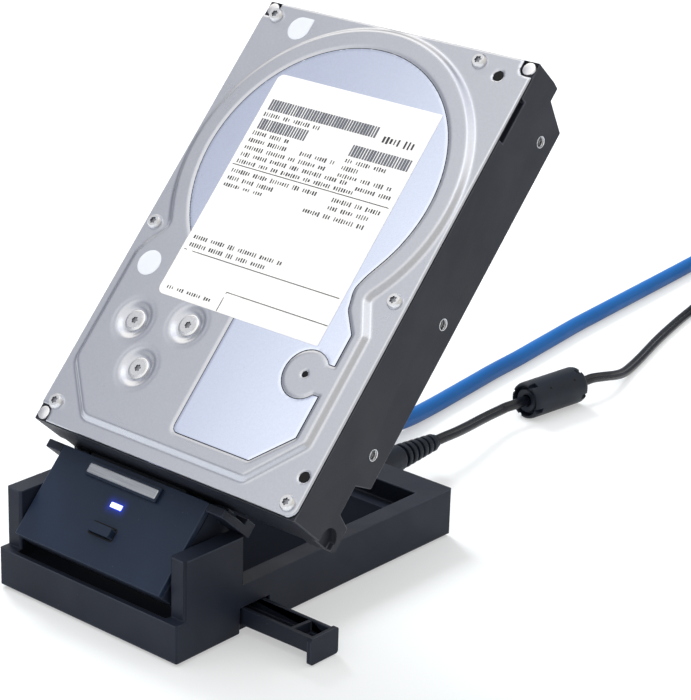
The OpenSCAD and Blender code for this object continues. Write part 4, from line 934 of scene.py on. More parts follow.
# A sheet ends at its floor, or where no floor is given, its thickness below its own rim.
def reliefMesh(name, edge, height, ends, step, chamfer, floor=None, thick=0.0, space=driveSpace):
    us, vs = (np.arange(low - step, high + 1.5 * step, step) for low, high in zip(*ends))
    u, v = np.meshgrid(us, vs)
    inside = edge(u, v) < -pressing["inside"] * step
    keep = inside[:-1, :-1] | inside[1:, :-1] | inside[:-1, 1:] | inside[1:, 1:]
    su, sv = u.copy(), v.copy()
    small = pressing["probe"]
    for _ in range(pressing["rounds"]):
        away = np.where(inside, 0.0, edge(su, sv))
        gu = (edge(su + small, sv) - edge(su - small, sv)) / (2 * small)
        gv = (edge(su, sv + small) - edge(su, sv - small)) / (2 * small)
        norm = np.maximum(np.hypot(gu, gv), pressing["leastSlope"]) ** 2
        su, sv = su - away * gu / norm, sv - away * gv / norm
    h = height(su, sv) - np.where(inside, 0.0, chamfer)
    across = len(us)
    rows, columns = np.nonzero(keep)
    first = rows * across + columns
    quads = np.stack([first, first + 1, first + across + 1, first + across], axis=1)
    used = np.unique(quads)
    renumber = np.full(u.size, -1)
    renumber[used] = np.arange(len(used))
    points = np.stack([su.ravel()[used], sv.ravel()[used], h.ravel()[used]], axis=1)
    shape = toShape(name, points.tolist(), renumber[quads].tolist())
    bmesh.ops.remove_doubles(shape, verts=shape.verts, dist=pressing["weld"])
    bmesh.ops.dissolve_degenerate(shape, edges=shape.edges, dist=pressing["sliver"])
    rim = [e for e in shape.edges if e.is_boundary]
    for vertex in bmesh.ops.extrude_edge_only(shape, edges=rim)["geom"]:
        if isinstance(vertex, bmesh.types.BMVert):
            vertex.co.z = vertex.co.z - thick if floor is None else floor
    rim = [e for e in shape.edges if e.is_boundary]
    bmesh.ops.triangle_fill(shape, edges=rim, use_beauty=False, use_dissolve=False)
    bmesh.ops.recalc_face_normals(shape, faces=shape.faces)
    mesh = toMesh(shape, name)
    mesh.transform(space)
    return smoothMesh(mesh, pressing["shown"])


# The drive's cover is a pressed sheet on a gasket, with a bright sheet let into it.
cover = {
    "size": (101.6, 145.6), "inset": 0.3, "corner": 3.0, "rim": 24.4, "seat": 23.5, "step": 0.5,
    "rise": 1.55, "slope": 2.1, "recess": 0.3, "recessSlope": 0.7, "chamfer": 0.3,
    "platter": (50.8, 95.5), "ridge": 49.6, "ridgeSoft": 1.5, "foil": 41.9, "foilSoft": 1.0,
    "field": fillet([  # u, v, rounding
        (3, 20, 6), (17.4, 4.2, 6), (81, 4.2, 3.5), (95.6, 20, 3.5), (95.6, 54.5, 4), (88.8, 66.4, 5),
        (95, 76, 6), (95, 89.5, 0.1), (6, 89.5, 0.1), (8, 74, 5), (9.6, 68, 3.5), (4.4, 60.5, 7), (3, 57, 4)]),
    "sheet": fillet([
        (50, 10.4, 2.6), (79.6, 10.4, 0.6), (90.4, 21, 0.7), (90.4, 53.3, 0.8), (85.1, 59.8, 4), (83.4, 66, 5),
        (85.6, 72, 5), (90, 82, 0.1), (50, 82, 0.1)]),
    "breather": (82.5, 38.6), "breatherRadius": 7.3, "breatherNeck": 9.2, "neckLong": 40, "neckCorner": 0.4,
    "dishes": [(36.2, 40.9), (17.3, 37.1), (27.5, 24.1)], "dishRim": 6.4, "dishFloor": 3.6, "dishDepth": 0.95,
    "dishRing": 7.7, "dishStep": 0.05, "dishStepSlope": 0.35,
    "holes": [(91, 138.7, 1.6), (98, 12.1, 1.6), (82.5, 38.6, 0.95)], "holeDrop": 0.12, "holeUp": 0.02, "holeGap": 0.05,
    "posts": [(2.5, 143.1), (99.1, 143.1), (2.5, 2.5)], "postGap": 2.6,
    "gasket": 0.22, "gasketReach": 0.16, "gasketStep": 0.8,
}
foil = {
    "ends": ((8, 9), (94, 139)), "step": 0.6, "sunk": 0.05, "thick": 0.16, "outlineHigh": 0.09, "gap": 0.25, "chamfer": 0.03,
}


def coverEdge(u, v):
    inset = cover["inset"]
    width, length = cover["size"]
    edge = slab(u, v, (inset, inset), (width - inset, length - inset), cover["corner"])
    for pu, pv in cover["posts"]:
        a = np.sign(pu - width / 2) * (u - pu)
        b = np.sign(pv - length / 2) * (v - pv)
        edge = np.maximum(edge, cover["postGap"] - np.hypot(np.minimum(a, 0), np.minimum(b, 0)))
    for hu, hv, radius in cover["holes"]:
        edge = np.maximum(edge, -disc(u, v, (hu, hv), radius))
    return edge


def raisedEdge(u, v):
    return softMin(disc(u, v, cover["platter"], cover["ridge"]), outline(u, v, cover["field"]), cover["ridgeSoft"])


def foilEdge(u, v):
    bu, bv = cover["breather"]
    half = cover["breatherNeck"] / 2
    edge = softMin(disc(u, v, cover["platter"], cover["foil"]), outline(u, v, cover["sheet"]), cover["foilSoft"])
    neck = slab(u, v, (bu, bv - half), (bu + cover["neckLong"], bv + half), cover["neckCorner"])
    return np.maximum(edge, -np.minimum(disc(u, v, (bu, bv), cover["breatherRadius"]), neck))


def coverHeight(u, v):
    height = cover["rim"] + cover["rise"] * ease(-raisedEdge(u, v) / cover["slope"])
    height = height - cover["recess"] * ease((cover["recessSlope"] - foilEdge(u, v)) / cover["recessSlope"])
    dishSlope = cover["dishRim"] - cover["dishFloor"]
    for spot in cover["dishes"]:
        away = disc(u, v, spot, 0)
        height = height - cover["dishDepth"] * ease((cover["dishRim"] - away) / dishSlope)
        height = height - cover["dishStep"] * ease((cover["dishRing"] - away) / cover["dishStepSlope"])
    return height


def makeCover():
    ends = (0, 0), cover["size"]
    seat = cover["seat"] + cover["gasket"]
    mesh = reliefMesh("driveCover", coverEdge, coverHeight, ends, cover["step"], cover["chamfer"], seat)
    newPiece("driveCover", mesh, "coverSilver", "drive", "cover_silver", "drive_top_cover")
    mesh = reliefMesh(
        "coverGasket", lambda u, v: coverEdge(u, v) - cover["gasketReach"], level(seat), ends, cover["gasketStep"],
        0.0, cover["seat"])
    newPiece("coverGasket", mesh, "seamDark", "drive", "casting_dark")
    # Dark discs in the cover's holes are painted shade.
    holeShadeDiscs = []
    for hu, hv, radius in cover["holes"]:
        low, wide = cover["seat"] + cover["holeUp"], radius - cover["holeGap"]
        top = float(coverHeight(np.array([hu]), np.array([hv]))[0]) - cover["holeDrop"]
        profile = [(0.0, low), (wide, low), (wide, top), (0.0, top)]
        holeShadeDiscs.append(latheMesh("hole", profile, driveSpace @ shift((hu, hv, 0)), sides=32))
    newPiece("coverHoles", holeShadeDiscs, "seamDark", "drive", "casting_dark")


def makeFoil():
    floor = cover["rim"] + cover["rise"] - cover["recess"] - foil["sunk"]
    mesh = reliefMesh(
        "coverFoil", lambda u, v: foilEdge(u, v) + foil["gap"], level(floor + foil["thick"]), foil["ends"],
        foil["step"], foil["chamfer"], floor)
    newPiece("coverFoil", mesh, "foilBright", "drive", "foil_bright", "drive_cover_foil")
    # A dark sheet a little larger than the foil, lying just under its top, shows as a thin dark line round it.
    mesh = reliefMesh("foilBond", foilEdge, level(floor + foil["outlineHigh"]), foil["ends"], foil["step"], 0.0, floor)
    newPiece("foilBond", mesh, "seamDark", "drive", "casting_dark")


makeCover()
makeFoil()
print("drive cover pressed")

label = {
    "middle": (50.75, 84.8), "size": (61.9, 75.3), "corner": 2.2, "square": 0.3, "step": 0.5, "lift": 0.1,
    "bridge": 0.9, "foilSoft": 0.5, "chamfer": 0.02, "thick": 0.2,
}


def labelHeight(u, v):
    far = label["bridge"]
    spots = ((0, 0), (far, 0), (-far, 0), (0, far), (0, -far))
    mean = sum(coverHeight(u + du, v + dv) for du, dv in spots) / len(spots)
    return mean + foil["thick"] * ease(label["foilSoft"] - foilEdge(u, v)) + label["lift"]


def makeLabel():
    low, high = around(label["middle"], label["size"])
    rightPart = (label["middle"][0], low[1])
    mesh = reliefMesh(
        "driveLabel", lambda u, v: np.minimum(
            slab(u, v, low, high, label["corner"]), slab(u, v, rightPart, high, label["square"])),
        labelHeight, (low, high), label["step"], label["chamfer"], thick=label["thick"])
    newPiece("driveLabel", mesh, "paperWhite", "drive", "paper_white", "drive_label")


makeLabel()

# Plain print on the label: stripe codes, rows of short strokes, two rules and a bare box. Places are from its top left.
labelPrint = {
    "ink": 0.07, "seed": 41, "draws": 1000, "rule": 0.24, "ruleDowns": (31.0, 60.3), "ruleMargin": 1.2, "rulePiece": 4,
    "codes": [  # left, down, wide, high, bars
        (2.5, 8.4, 41.6, 3.6, 42), (2.4, 15.0, 18.8, 3.6, 19), (38.2, 15.6, 22.2, 3.7, 22)],
    "rows": [  # left, down, wide, high
        (2.2, 12.8, 22.8, 1.5), (46.6, 10.4, 12.4, 2.6), (1.9, 19.3, 15.2, 1.5), (1.9, 21.8, 16.8, 1.5),
        (22.0, 21.8, 14.0, 1.5), (1.9, 24.3, 34.2, 1.5), (1.9, 26.7, 42.0, 1.5), (1.9, 29.1, 46.0, 1.4),
        (38.3, 20.1, 16.8, 1.5), (38.3, 22.5, 8.4, 1.5), (38.3, 24.9, 21.0, 1.5), (46.6, 27.5, 13.6, 1.5),
        (1.9, 32.3, 33.4, 1.5), (1.9, 34.8, 21.0, 1.5), (1.9, 37.3, 17.0, 1.2), (41.0, 32.6, 18.6, 1.5),
        (41.0, 35.2, 16.2, 1.5), (33.4, 38.0, 25.6, 1.5), (1.9, 55.2, 35.0, 1.5), (1.9, 57.8, 31.0, 1.5),
        (2.4, 72.2, 17.5, 1.2)],
    "box": (23.5, 68.8, 38.2, 6.3), "stroke": 0.92, "strokeHigh": 1.8, "word": (3, 9), "gap": 1.2,
    "codeBar": (0.5, 0.86, 1.0), "strokeBar": (0.3, 0.62, 0.6), "ruleBar": (1.0, 1.0, 1.0),  # thin, thick, short
}


def makeLabelPrint():
    left0 = label["middle"][0] - label["size"][0] / 2
    top0 = label["middle"][1] + label["size"][1] / 2
    ink, rule = labelPrint["ink"], labelPrint["rule"]
    chance = np.random.default_rng(labelPrint["seed"])
    layers = {"printInk": [], "codeInk": []}

    def draw():
        return int(chance.integers(labelPrint["draws"]))

    def stamp(bars, left, down, wide, high, bar, seed, layer="printInk"):
        step = wide / bars
        thin, thick, short = bar
        layers[layer].append(runTree(barStripes, "print", layer, {
            "Bars": bars, "Start": (left0 + left + step / 2, top0 - down - high / 2, 0.0), "Step": (step, 0.0, 0.0),
            "Thinnest": (thin * step, short * high, ink), "Thickest": (thick * step, high, ink), "Seed": seed}))

    for left, down, wide, high, bars in labelPrint["codes"]:
        stamp(bars, left, down, wide, high, labelPrint["codeBar"], draw(), "codeInk")
    for left, down, wide, high in labelPrint["rows"]:
        place, step = left, labelPrint["stroke"] * max(1.0, high / labelPrint["strokeHigh"])
        while place < left + wide - 2 * step:
            room = int((left + wide - place) / step)
            strokes = min(int(chance.integers(*labelPrint["word"])), room)
            stamp(strokes, place, down, strokes * step, high, labelPrint["strokeBar"], draw())
            place += strokes * step + labelPrint["gap"]
    left, down, wide, high = labelPrint["box"]
    margin = labelPrint["ruleMargin"]
    rules = [(margin, d, label["size"][0] - 2 * margin, rule) for d in labelPrint["ruleDowns"]]
    rules += [(left, down, wide, rule), (left, down, rule, high)]
    for x, d, w, h in rules:
        pieces = max(1, round(max(w, h) / labelPrint["rulePiece"]))
        for i in range(pieces):
            part = (x + w * i / pieces, d, w / pieces, h) if w > h else (x, d + h * i / pieces, w, h / pieces)
            stamp(1, *part, labelPrint["ruleBar"], 1)
    for name, finish in (("labelPrint", "printInk"), ("labelCodes", "codeInk")):
        mesh = joinMeshes(name, layers[finish])
        spots = np.zeros(len(mesh.vertices) * 3)
        mesh.vertices.foreach_get("co", spots)
        spots = spots.reshape(-1, 3)
        spots[:, 2] += labelHeight(spots[:, 0], spots[:, 1])
        mesh.vertices.foreach_set("co", spots.ravel())
        mesh.transform(driveSpace)
        newPiece(name, mesh, finish, "drive", "paper_white")


makeLabelPrint()
print("label laid")

seals = {
    "corner": (16.2, 138.6, 3.9), "side": (11.6, 54.7, 4.05), "point": 0.5, "raised": 0.1, "thick": 0.15,
    "step": 0.5, "chamfer": 0.03,
}


def makeSeals():
    cu, cv, cr = seals["corner"]
    su, sv, sr = seals["side"]

    def teardrop(u, v):
        return np.minimum(disc(u, v, (cu, cv), cr), slab(u, v, (cu, cv), (cu + cr, cv + cr), seals["point"]))

    def sealMesh(edge, middle, radius):
        return reliefMesh(
            "seal", edge, lambda u, v: coverHeight(u, v) + seals["raised"], around(middle, (2 * radius, 2 * radius)),
            seals["step"], seals["chamfer"], thick=seals["thick"])

    both = [sealMesh(teardrop, (cu, cv), cr), sealMesh(lambda u, v: disc(u, v, (su, sv), sr), (su, sv), sr)]
    newPiece("coverSeals", both, "sealWhite", "drive", "paper_white", "drive_seals")


makeSeals()

coverScrews = {
    "rim": {"profile": [(2.42, -0.3), (2.42, 0.32), (2.32, 0.6), (1.96, 1.3), (1.8, 1.45)],  # radius, height
            "drive": 0.95, "lobes": 0.18, "recess": 0.5},
    "dish": {"profile": [(3.4, -0.3), (3.4, 0.3), (3.2, 0.42), (2.75, 0.44), (2.6, 0.66)],
             "drive": 0.95, "lobes": 0.17, "recess": 0.4},
    "rimSpots": [(5.7, 141), (82.9, 141.6), (5.4, 6.7), (97.5, 3.9), (4.2, 67.5), (97, 66.5)],
    "seed": 7,
}


def makeCoverScrews():
    onRim = [(u, v, cover["rim"]) for u, v in coverScrews["rimSpots"]]
    floor = cover["rim"] + cover["rise"] - cover["dishDepth"] - cover["dishStep"]
    inDish = [(u, v, floor) for u, v in cover["dishes"]]
    seed = coverScrews["seed"]
    scatterHeads("coverScrews", coverScrews["rim"], onRim, seed, driveSpace, "drive_cover_screws")
    scatterHeads("dishScrews", coverScrews["dish"], inDish, seed + 1, driveSpace)


makeCoverScrews()

cornerPosts = {"radius": 2.1, "low": 20.5, "high": 24.1, "round": 0.45, "shoulder": (0.15, 0.3)}


def makeCornerPosts():
    r, low, high, edge = (cornerPosts[k] for k in ("radius", "low", "high", "round"))
    inward, share = cornerPosts["shoulder"]
    profile = [(0.0, low), (r, low), (r, high - edge), (r - inward, high - share * edge), (r - edge, high), (0.0, high)]
    posts = [latheMesh("post", profile, driveSpace @ shift((*spot, 0))) for spot in cover["posts"]]
    newPiece("cornerPosts", posts, "postBright", "drive", "post_bright", "drive_corner_posts")


makeCornerPosts()

# The casting keeps its solid's form, with rounded edges, and bright threads and rims in its side holes.
casting = {
    "round": 0.35, "holes": (28.5, 70.1, 130.1), "high": 6.35, "start": 0.1,
    "thread": {"Radius": 1.62, "Wire": 0.22, "Turns": 6.0, "Depth": 3.0},
    "rim": [(1.45, -0.3), (1.8, -0.3), (1.8, -0.02), (1.76, 0.02), (1.55, 0.02), (1.45, -0.08), (1.45, -0.3)],
}


def makeCasting():
    roundedPiece("drive_casting", "driveCasting", casting["round"], "castingCoat", "drive", "casting_dark")
    width, high = cover["size"][0], casting["high"]
    lefts = (casting["start"], width - casting["start"] - casting["thread"]["Depth"])
    spots = [(left, v, high) for left in lefts for v in casting["holes"]]
    mesh = runTree(holeThreads, "sideThreads", "screwSteel", casting["thread"], spots)
    mesh.transform(driveSpace)
    newPiece("sideThreads", smoothMesh(mesh, sharpAngle=60), "screwSteel", "drive", "post_bright")
    rims = [latheMesh("rim", casting["rim"], driveSpace @ shift((edge, v, high)) @ turned(turn, "Y"))
            for edge, turn in ((0.0, -90), (width, 90)) for v in casting["holes"]]
    newPiece("holeRims", rims, "socketSteel", "drive", "post_bright")


makeCasting()

# The drive's underside: chips and small parts on its board, and the motor's plate
underside = {
    "board": 3.8, "chips": [  # u, v, wide, long, high
        (60.5, 50.5, 17, 17, 1.2), (38, 56, 12, 9, 1.0), (34.5, 38, 9, 9, 0.9), (73.5, 33.5, 7, 6, 0.9),
        (24.5, 64, 5, 7, 0.8), (77, 66, 6, 5, 0.8), (52, 33.5, 5, 4, 0.7)],
    "chipCorner": 0.3, "chipEdge": 0.18, "chipSunk": 0.05,
    "rows": [  # count, start u, v, step u, v
        (7, 22, 48.5, 2.2, 0), (6, 45, 42.5, 0, 3.1), (6, 74, 41, 0, 3.0), (8, 26, 32, 0, 2.0), (7, 55, 38, 2.4, 0),
        (5, 21, 70, 0, 2.2), (5, 80.5, 56, 0, 2.3), (6, 58, 29, 2.3, 0)],
    "part": ((0.8, 0.7, 0.5), (1.5, 1.1, 0.8)), "pads": (5, 46.2, 63.6, 2.3, 0), "pad": (1.5, 2.0, 0.12),
    "leggedChips": 2, "legPitch": 1.27, "legMargin": 2, "leg": (0.5, 0.9, 0.35), "seed": 23,
    "plate": [  # radius, height
        (0.0, 2.7), (19.0, 2.7), (19.0, 2.35), (18.7, 2.2), (13.2, 2.2), (12.8, 2.5), (10.4, 2.5), (10.0, 2.15),
        (6.2, 1.95), (5.6, 1.6), (2.6, 1.55), (2.2, 2.1), (0.0, 2.1)],
    "plateScrewRing": 15.8, "plateScrewTurns": (0.5, 2.6, 4.7), "plateScrewHigh": 2.2,
    "head": {"profile": [(2.2, -0.25), (2.2, 0.25), (2.05, 0.5), (1.7, 0.72)],
             "drive": 0.8, "lobes": 0.17, "recess": 0.5},
    "boardScrews": [(19, 78.8), (82.6, 78.8), (82.6, 22), (19, 30)],
}


def makeUnderside():
    low, edge, seed = underside["board"], underside["chipEdge"], underside["seed"]
    facing = driveSpace @ shift((0, 0, low)) @ Matrix.Diagonal((1, -1, -1, 1))
    chips = []
    for u, v, wide, long, high in underside["chips"]:
        rows = [(-underside["chipSunk"], 0.0), (high - edge, 0.0), (high, edge)]
        spot = facing @ shift((u, -v, 0))
        chips.append(stackMesh("chip", spot, (wide, long), underside["chipCorner"], rows, steps=2))
    newPiece("boardChips", chips, "chipBlack", "drive", "chip_black")

    def row(layout, smallest, largest, finish, draw):
        count, u, v, du, dv = layout
        mesh = runTree(barStripes, "row", finish, {
            "Bars": count, "Start": (u, -v, 0.0), "Step": (du, -dv, 0.0), "Thinnest": smallest, "Thickest": largest,
            "Seed": draw})
        mesh.transform(facing)
        return mesh

    parts = [row(layout, *underside["part"], "chipBlack", seed + i) for i, layout in enumerate(underside["rows"])]
    newPiece("boardParts", parts, "chipBlack", "drive", "chip_black")
    pads = [row(underside["pads"], underside["pad"], underside["pad"], "goldContact", seed)]
    pitch, leg = underside["legPitch"], underside["leg"]
    for u, v, wide, long, _ in underside["chips"][:underside["leggedChips"]]:
        count = int((wide - underside["legMargin"]) / pitch) + 1
        for side in (-1, 1):
            layout = (count, u - pitch * (count - 1) / 2, v + side * (long / 2 + leg[1] / 2), pitch, 0)
            pads.append(row(layout, leg, leg, "goldContact", seed))
    newPiece("boardContacts", pads, "goldContact", "drive", "screw_steel")
    mu, mv = cover["platter"]
    plate = latheMesh("motorPlate", underside["plate"], driveSpace @ shift((mu, mv, 0)), sides=96)
    newPiece("motorPlate", smoothMesh(plate, sharpAngle=30), "socketSteel", "drive", "screw_steel")
    spots = [(u, -v, 0.0) for u, v in underside["boardScrews"]]
    scatterHeads("boardScrews", underside["head"], spots, seed, facing, "drive_pcb_screws")
    ring = underside["plateScrewRing"]
    spots = [(mu + ring * cos(a), -mv - ring * sin(a), 0.0) for a in underside["plateScrewTurns"]]
    drop = facing @ shift((0, 0, low - underside["plateScrewHigh"]))
    scatterHeads("plateScrews", underside["head"], spots, seed + 1, drop)


makeUnderside()
print("drive dressed")

# The base's well is darker and duller than its outside: the darker tone is painted shade for the drive's shadow, and
# the duller roughness is its own.
paintedWellShade = {
    "low": (-30.4, -9.2, 3.0), "high": (30.4, 92.0, 15.6), "soft": 0.5, "tone": shade(8, 14, 26), "roughness": 0.95,
}


def wellShadeFinish():
    tree, shader = copyFinish("basePlastic", "dockShell")
    axes = splitAxes(tree, ownPlace(tree))
    inside = 1.0
    for axis, low, high in zip(("X", "Y", "Z"), paintedWellShade["low"], paintedWellShade["high"]):
        over = spread(tree, axes[axis], (low - paintedWellShade["soft"]) * mm, low * mm)
        under = spread(tree, axes[axis], high * mm, (high + paintedWellShade["soft"]) * mm, 1.0, 0.0)
        inside = times(tree, times(tree, over, under), inside)
    colour, gloss = (shader.inputs[name].links[0].from_socket for name in ("Base Color", "Roughness"))
    # Painted shade: inside the well box the colour goes to a dark tone.
    feed(tree, shader, {
        "Base Color": mixTone(tree, inside, colour, paintedWellShade["tone"]),
        "Roughness": mixValue(tree, inside, gloss, paintedWellShade["roughness"])})


# Dock pieces: rounded copies of their solids, and finishes for the solids that are shown as they are
roundings = [  # node, piece, width, finish, body, slot
    ("base_shell", "dockBase", 0.45, "dockShell", "base", "base_plastic"),
    ("rubber_feet", "footStrips", 0.25, "footRubber", "base", "foot_rubber"),
    ("cradle_shell", "cradleShell", 0.3, "basePlastic", "cradle", "panel_plastic"),
    ("power_button", "powerButton", 0.35, "panelPlastic", "button", "panel_plastic"),
    ("outrigger", "outriggerArm", 0.35, "basePlastic", "outrigger_arm", "base_plastic"),
    ("badge_bar", "badgeBlock", 0.2, "panelPlastic", "cradle", "panel_plastic"),
]
wellShadeFinish()
for row in roundings:
    roundedPiece(*row)
dress("basePlastic", "base_bottom_cover")
dress("boardGreen", "main_pcb", "cradle_pcb", "drive_pcb")
dress("chipBlack", "bridge_chips", "tact_switch", "switch_plunger")
dress("plugBlack", "dc_jack", "sata_receptacle", "drive_sata_plug")
dress("socketSteel", "usb_socket")
dress("screwSteel", "base_screws", "hinge_pins", "cradle_screws")
print("dock dressed")

# The panel, with a lit window, and the light it spills on the panel painted there as a glow
panel = {
    "face": 13.0, "round": 0.3, "light": (0.0, -12.9), "lightSize": (4.5, 1.6), "lightProud": 0.1,
    "core": (0.95, 0.98, 1.0, 1), "coreDim": (0.85, 0.92, 1.0, 1), "grain": 0.5, "roughness": 0.3, "glow": 4.0,
    "border": (0.012, 0.03, 0.62, 1), "borderFrom": (-0.42, -0.1),
    "halo": (0.006, 0.02, 0.3, 1), "haloReach": 3.4, "haloFall": 3.0,
    "button": (0.0, -20.9), "buttonSize": (8.6, 2.9),
    "seam": (0.22, 0.42), "shadowRingCorners": (0.6, 0.4), "shadowRingProud": 0.02,
    "badge": (-1.8, -5.6), "badgeTop": 14.1, "inlay": (27.6, 3.0), "inlayProud": 0.12,
    "lightRelief": (0.35, 0.1, 0.03, 1.0), "shadowRingRelief": (0.1, 0.0, 0.2), "inlayRelief": (0.5, 0.2, 0.06, 0.3),
}


def makeFromLight():
    group, entry, leave = newGroup("fromLight", {"Reach": 1.0}, ["Border", "Halo"])
    place, turn, size = cradleSpace.inverted().decompose()
    flat = addNode(group, "ShaderNodeMapping", {
        "Vector": ownPlace(group), "Location": place, "Rotation": turn.to_euler(), "Scale": size})
    axes = splitAxes(group, flat.outputs[0])
    beyond = []
    for axis, middle, full in zip(("X", "Y"), panel["light"], panel["lightSize"]):
        off = calc(group, "ABSOLUTE", calc(group, "SUBTRACT", axes[axis], middle))
        beyond.append(calc(group, "SUBTRACT", off, full / 2))
    squares = [calc(group, "POWER", calc(group, "MAXIMUM", side, 0.0), 2.0) for side in beyond]
    away = calc(group, "SQRT", calc(group, "ADD", *squares))
    fall = calc(group, "SUBTRACT", 1.0, calc(group, "DIVIDE", away, entry["Reach"]))
    feed(group, leave, {
        "Border": spread(group, calc(group, "MAXIMUM", *beyond), *panel["borderFrom"]),
        "Halo": calc(group, "POWER", calc(group, "MAXIMUM", fall, 0.0), panel["haloFall"])})
    return group


fromLight = makeFromLight()


def lightFinish():
    tree, shader = newFinish("lightWindow", {"Roughness": panel["roughness"], "Emission Strength": panel["glow"]})
    grain = placeGroup(tree, mouldedGrain, {"Grain Size": panel["grain"]})
    light = placeGroup(tree, fromLight)
    core = mixTone(tree, grain["Tone"], panel["coreDim"], panel["core"])
    feed(tree, shader, {"Emission Color": mixTone(tree, light["Border"], core, panel["border"]), "Base Color": core})


def litPanelFinish():
    tree, shader = copyFinish("panelPlastic", "litPanel")
    shader.inputs["Emission Strength"].default_value = 1.0
    light = placeGroup(tree, fromLight, {"Reach": panel["haloReach"]})
    # The halo is painted light: emission on the panel plastic that fades with distance from the window.
    feed(tree, shader, {"Emission Color": mixTone(tree, light["Halo"], (0, 0, 0, 1), panel["halo"])})


def makePanel():
    lightFinish()
    litPanelFinish()
    roundedPiece("cradle_front_panel", "cradlePanel", panel["round"], "litPanel", "cradle", "panel_plastic")

    def inset(name, ends, under, proud, relief):
        corner, step, chamfer, deep = relief
        return reliefMesh(
            name, lambda u, v: slab(u, v, *ends, corner), level(under + proud), ends, step, chamfer, under - deep,
            space=cradleSpace)

    face = panel["face"]
    mesh = inset(
        "lightWindow", around(panel["light"], panel["lightSize"]), face, panel["lightProud"], panel["lightRelief"])
    newPiece("lightWindow", mesh, "lightWindow", "cradle", "light_clear", "light_window")
    dress("lightWindow", "light_chip")
    # A dark ring round the button is painted shadow for the gap between the button and the panel.
    gap, wide = panel["seam"]
    outerCorner, innerCorner = panel["shadowRingCorners"]
    step, chamfer, deep = panel["shadowRingRelief"]
    inner = around(panel["button"], panel["buttonSize"], gap)
    outer = around(panel["button"], panel["buttonSize"], gap + wide)
    mesh = reliefMesh(
        "buttonSeam", lambda u, v: np.maximum(slab(u, v, *outer, outerCorner), -slab(u, v, *inner, innerCorner)),
        level(face + panel["shadowRingProud"]), outer, step, chamfer, face - deep, space=cradleSpace)
    newPiece("buttonSeam", mesh, "seamDark", "cradle", "panel_plastic")
    mesh = inset(
        "badgeInlay", around(panel["badge"], panel["inlay"]), panel["badgeTop"], panel["inlayProud"],
        panel["inlayRelief"])
    newPiece("badgeInlay", mesh, "badgeSilver", "cradle", "badge_silver")


makePanel()
print("panel lit")

# Plugs, ferrite sleeve, ties and adapter
plug = {
    "start": (-0.5, 108.3, 9.5), "body": [  # radius, distance out of the socket
        (0.0, 0.0), (4.1, 0.0), (4.42, 0.2), (4.5, 0.6), (4.5, 16.9), (4.4, 17.5), (4.05, 18.0), (3.35, 18.2),
        (2.35, 36.7), (0.0, 36.7)],
    "firstRib": 20.24, "ribs": {"Count": 6, "Pitch": 2.877, "Radius": 3.2, "Thickness": 1.8, "Taper": 0.055},
}
sleeve = {
    "profile": [  # radius, distance from its near end
        (0.0, 7.4), (1.9, 7.4), (2.2, 6.0), (3.9, 5.6), (4.3, 6.0), (4.5, 7.4), (5.1, 7.4), (5.25, 5.6), (5.45, 5.1),
        (5.9, 5.2), (6.25, 5.6), (6.45, 6.2), (6.5, 7.0), (6.5, 7.9), (6.5, 8.1), (6.5, 27.9), (6.5, 28.1),
        (6.5, 29.0), (6.45, 29.8), (6.25, 30.4), (5.9, 30.8), (5.45, 30.9), (5.25, 30.4), (5.1, 28.6), (4.5, 28.6),
        (4.3, 30.0), (3.9, 30.4), (2.2, 30.0), (1.9, 28.6), (0.0, 28.6)],
    "notches": (20, 110, 200, 290), "notchHalf": 7, "notchRadius": 5.15, "notchKeep": 0.06, "rims": (8.0, 28.0),
    "marks": [  # turn about its axis, distance
        (317, 13.0), (317, 25.0), (254, 11.5), (254, 23.5), (137, 13.0), (137, 25.0), (74, 11.5), (74, 23.5)],
    "mark": (0.9, 0.85, 0.85), "proud": 0.03,
}
dataPlug = {
    "start": 6.0, "body": {"size": (10.6, 8.2), "corner": 2.0, "rows": [
        (0.0, 1.4), (0.25, 0.6), (0.9, 0.12), (1.8, 0.0), (16.8, 0.0), (18.6, 0.3), (19.6, 0.9), (20.0, 1.8)]},
    "grips": (6.4, 1.9, 5), "relief": (3.9, 3.3, 13.7, 6), "reliefSunk": 0.5, "reliefDeep": 0.55,
    "ribShares": ((0.0, 0), (0.55, 0), (0.65, 1), (0.92, 1)),
    "shell": {"size": (6.1, 2.4), "corner": 0.5, "steps": 3, "rows": [
        (1.0, 0.0), (-5.8, 0.0), (-5.8, 0.4), (-1.0, 0.4)]},
}
farPlug = {
    "body": {"size": (15.6, 8.4), "corner": 2.4, "rows": [
        (0.0, 2.3), (0.4, 1.2), (1.4, 0.4), (3.0, 0.0), (20.4, 0.0), (21.5, 0.25), (22.0, 0.9)]},
    "grips": (7.0, 1.9, 5), "shell": {"size": (12.0, 4.5), "corner": 0.7, "steps": 4, "rows": [
        (21.0, 0.0), (40.3, 0.0), (40.5, 0.12), (40.5, 0.35), (23.0, 0.35)]},
    "tongueUp": -1.05, "tongue": {"size": (11.0, 1.8), "corner": 0.2, "steps": 2, "rows": [
        (23.0, 0.0), (39.6, 0.0), (39.9, 0.2)]},
    "contacts": ((-3.5, -1.0, 1.0, 3.5), 35.0, (1.0, 0.08, 7.6)), "windows": ((-3.0, 3.0), 35.3, (2.4, 0.04, 2.0)),
}
grip = [(0.0, 0.0), (0.2, 0.35), (0.65, 0.35), (0.85, 0.0)]  # distance, depth
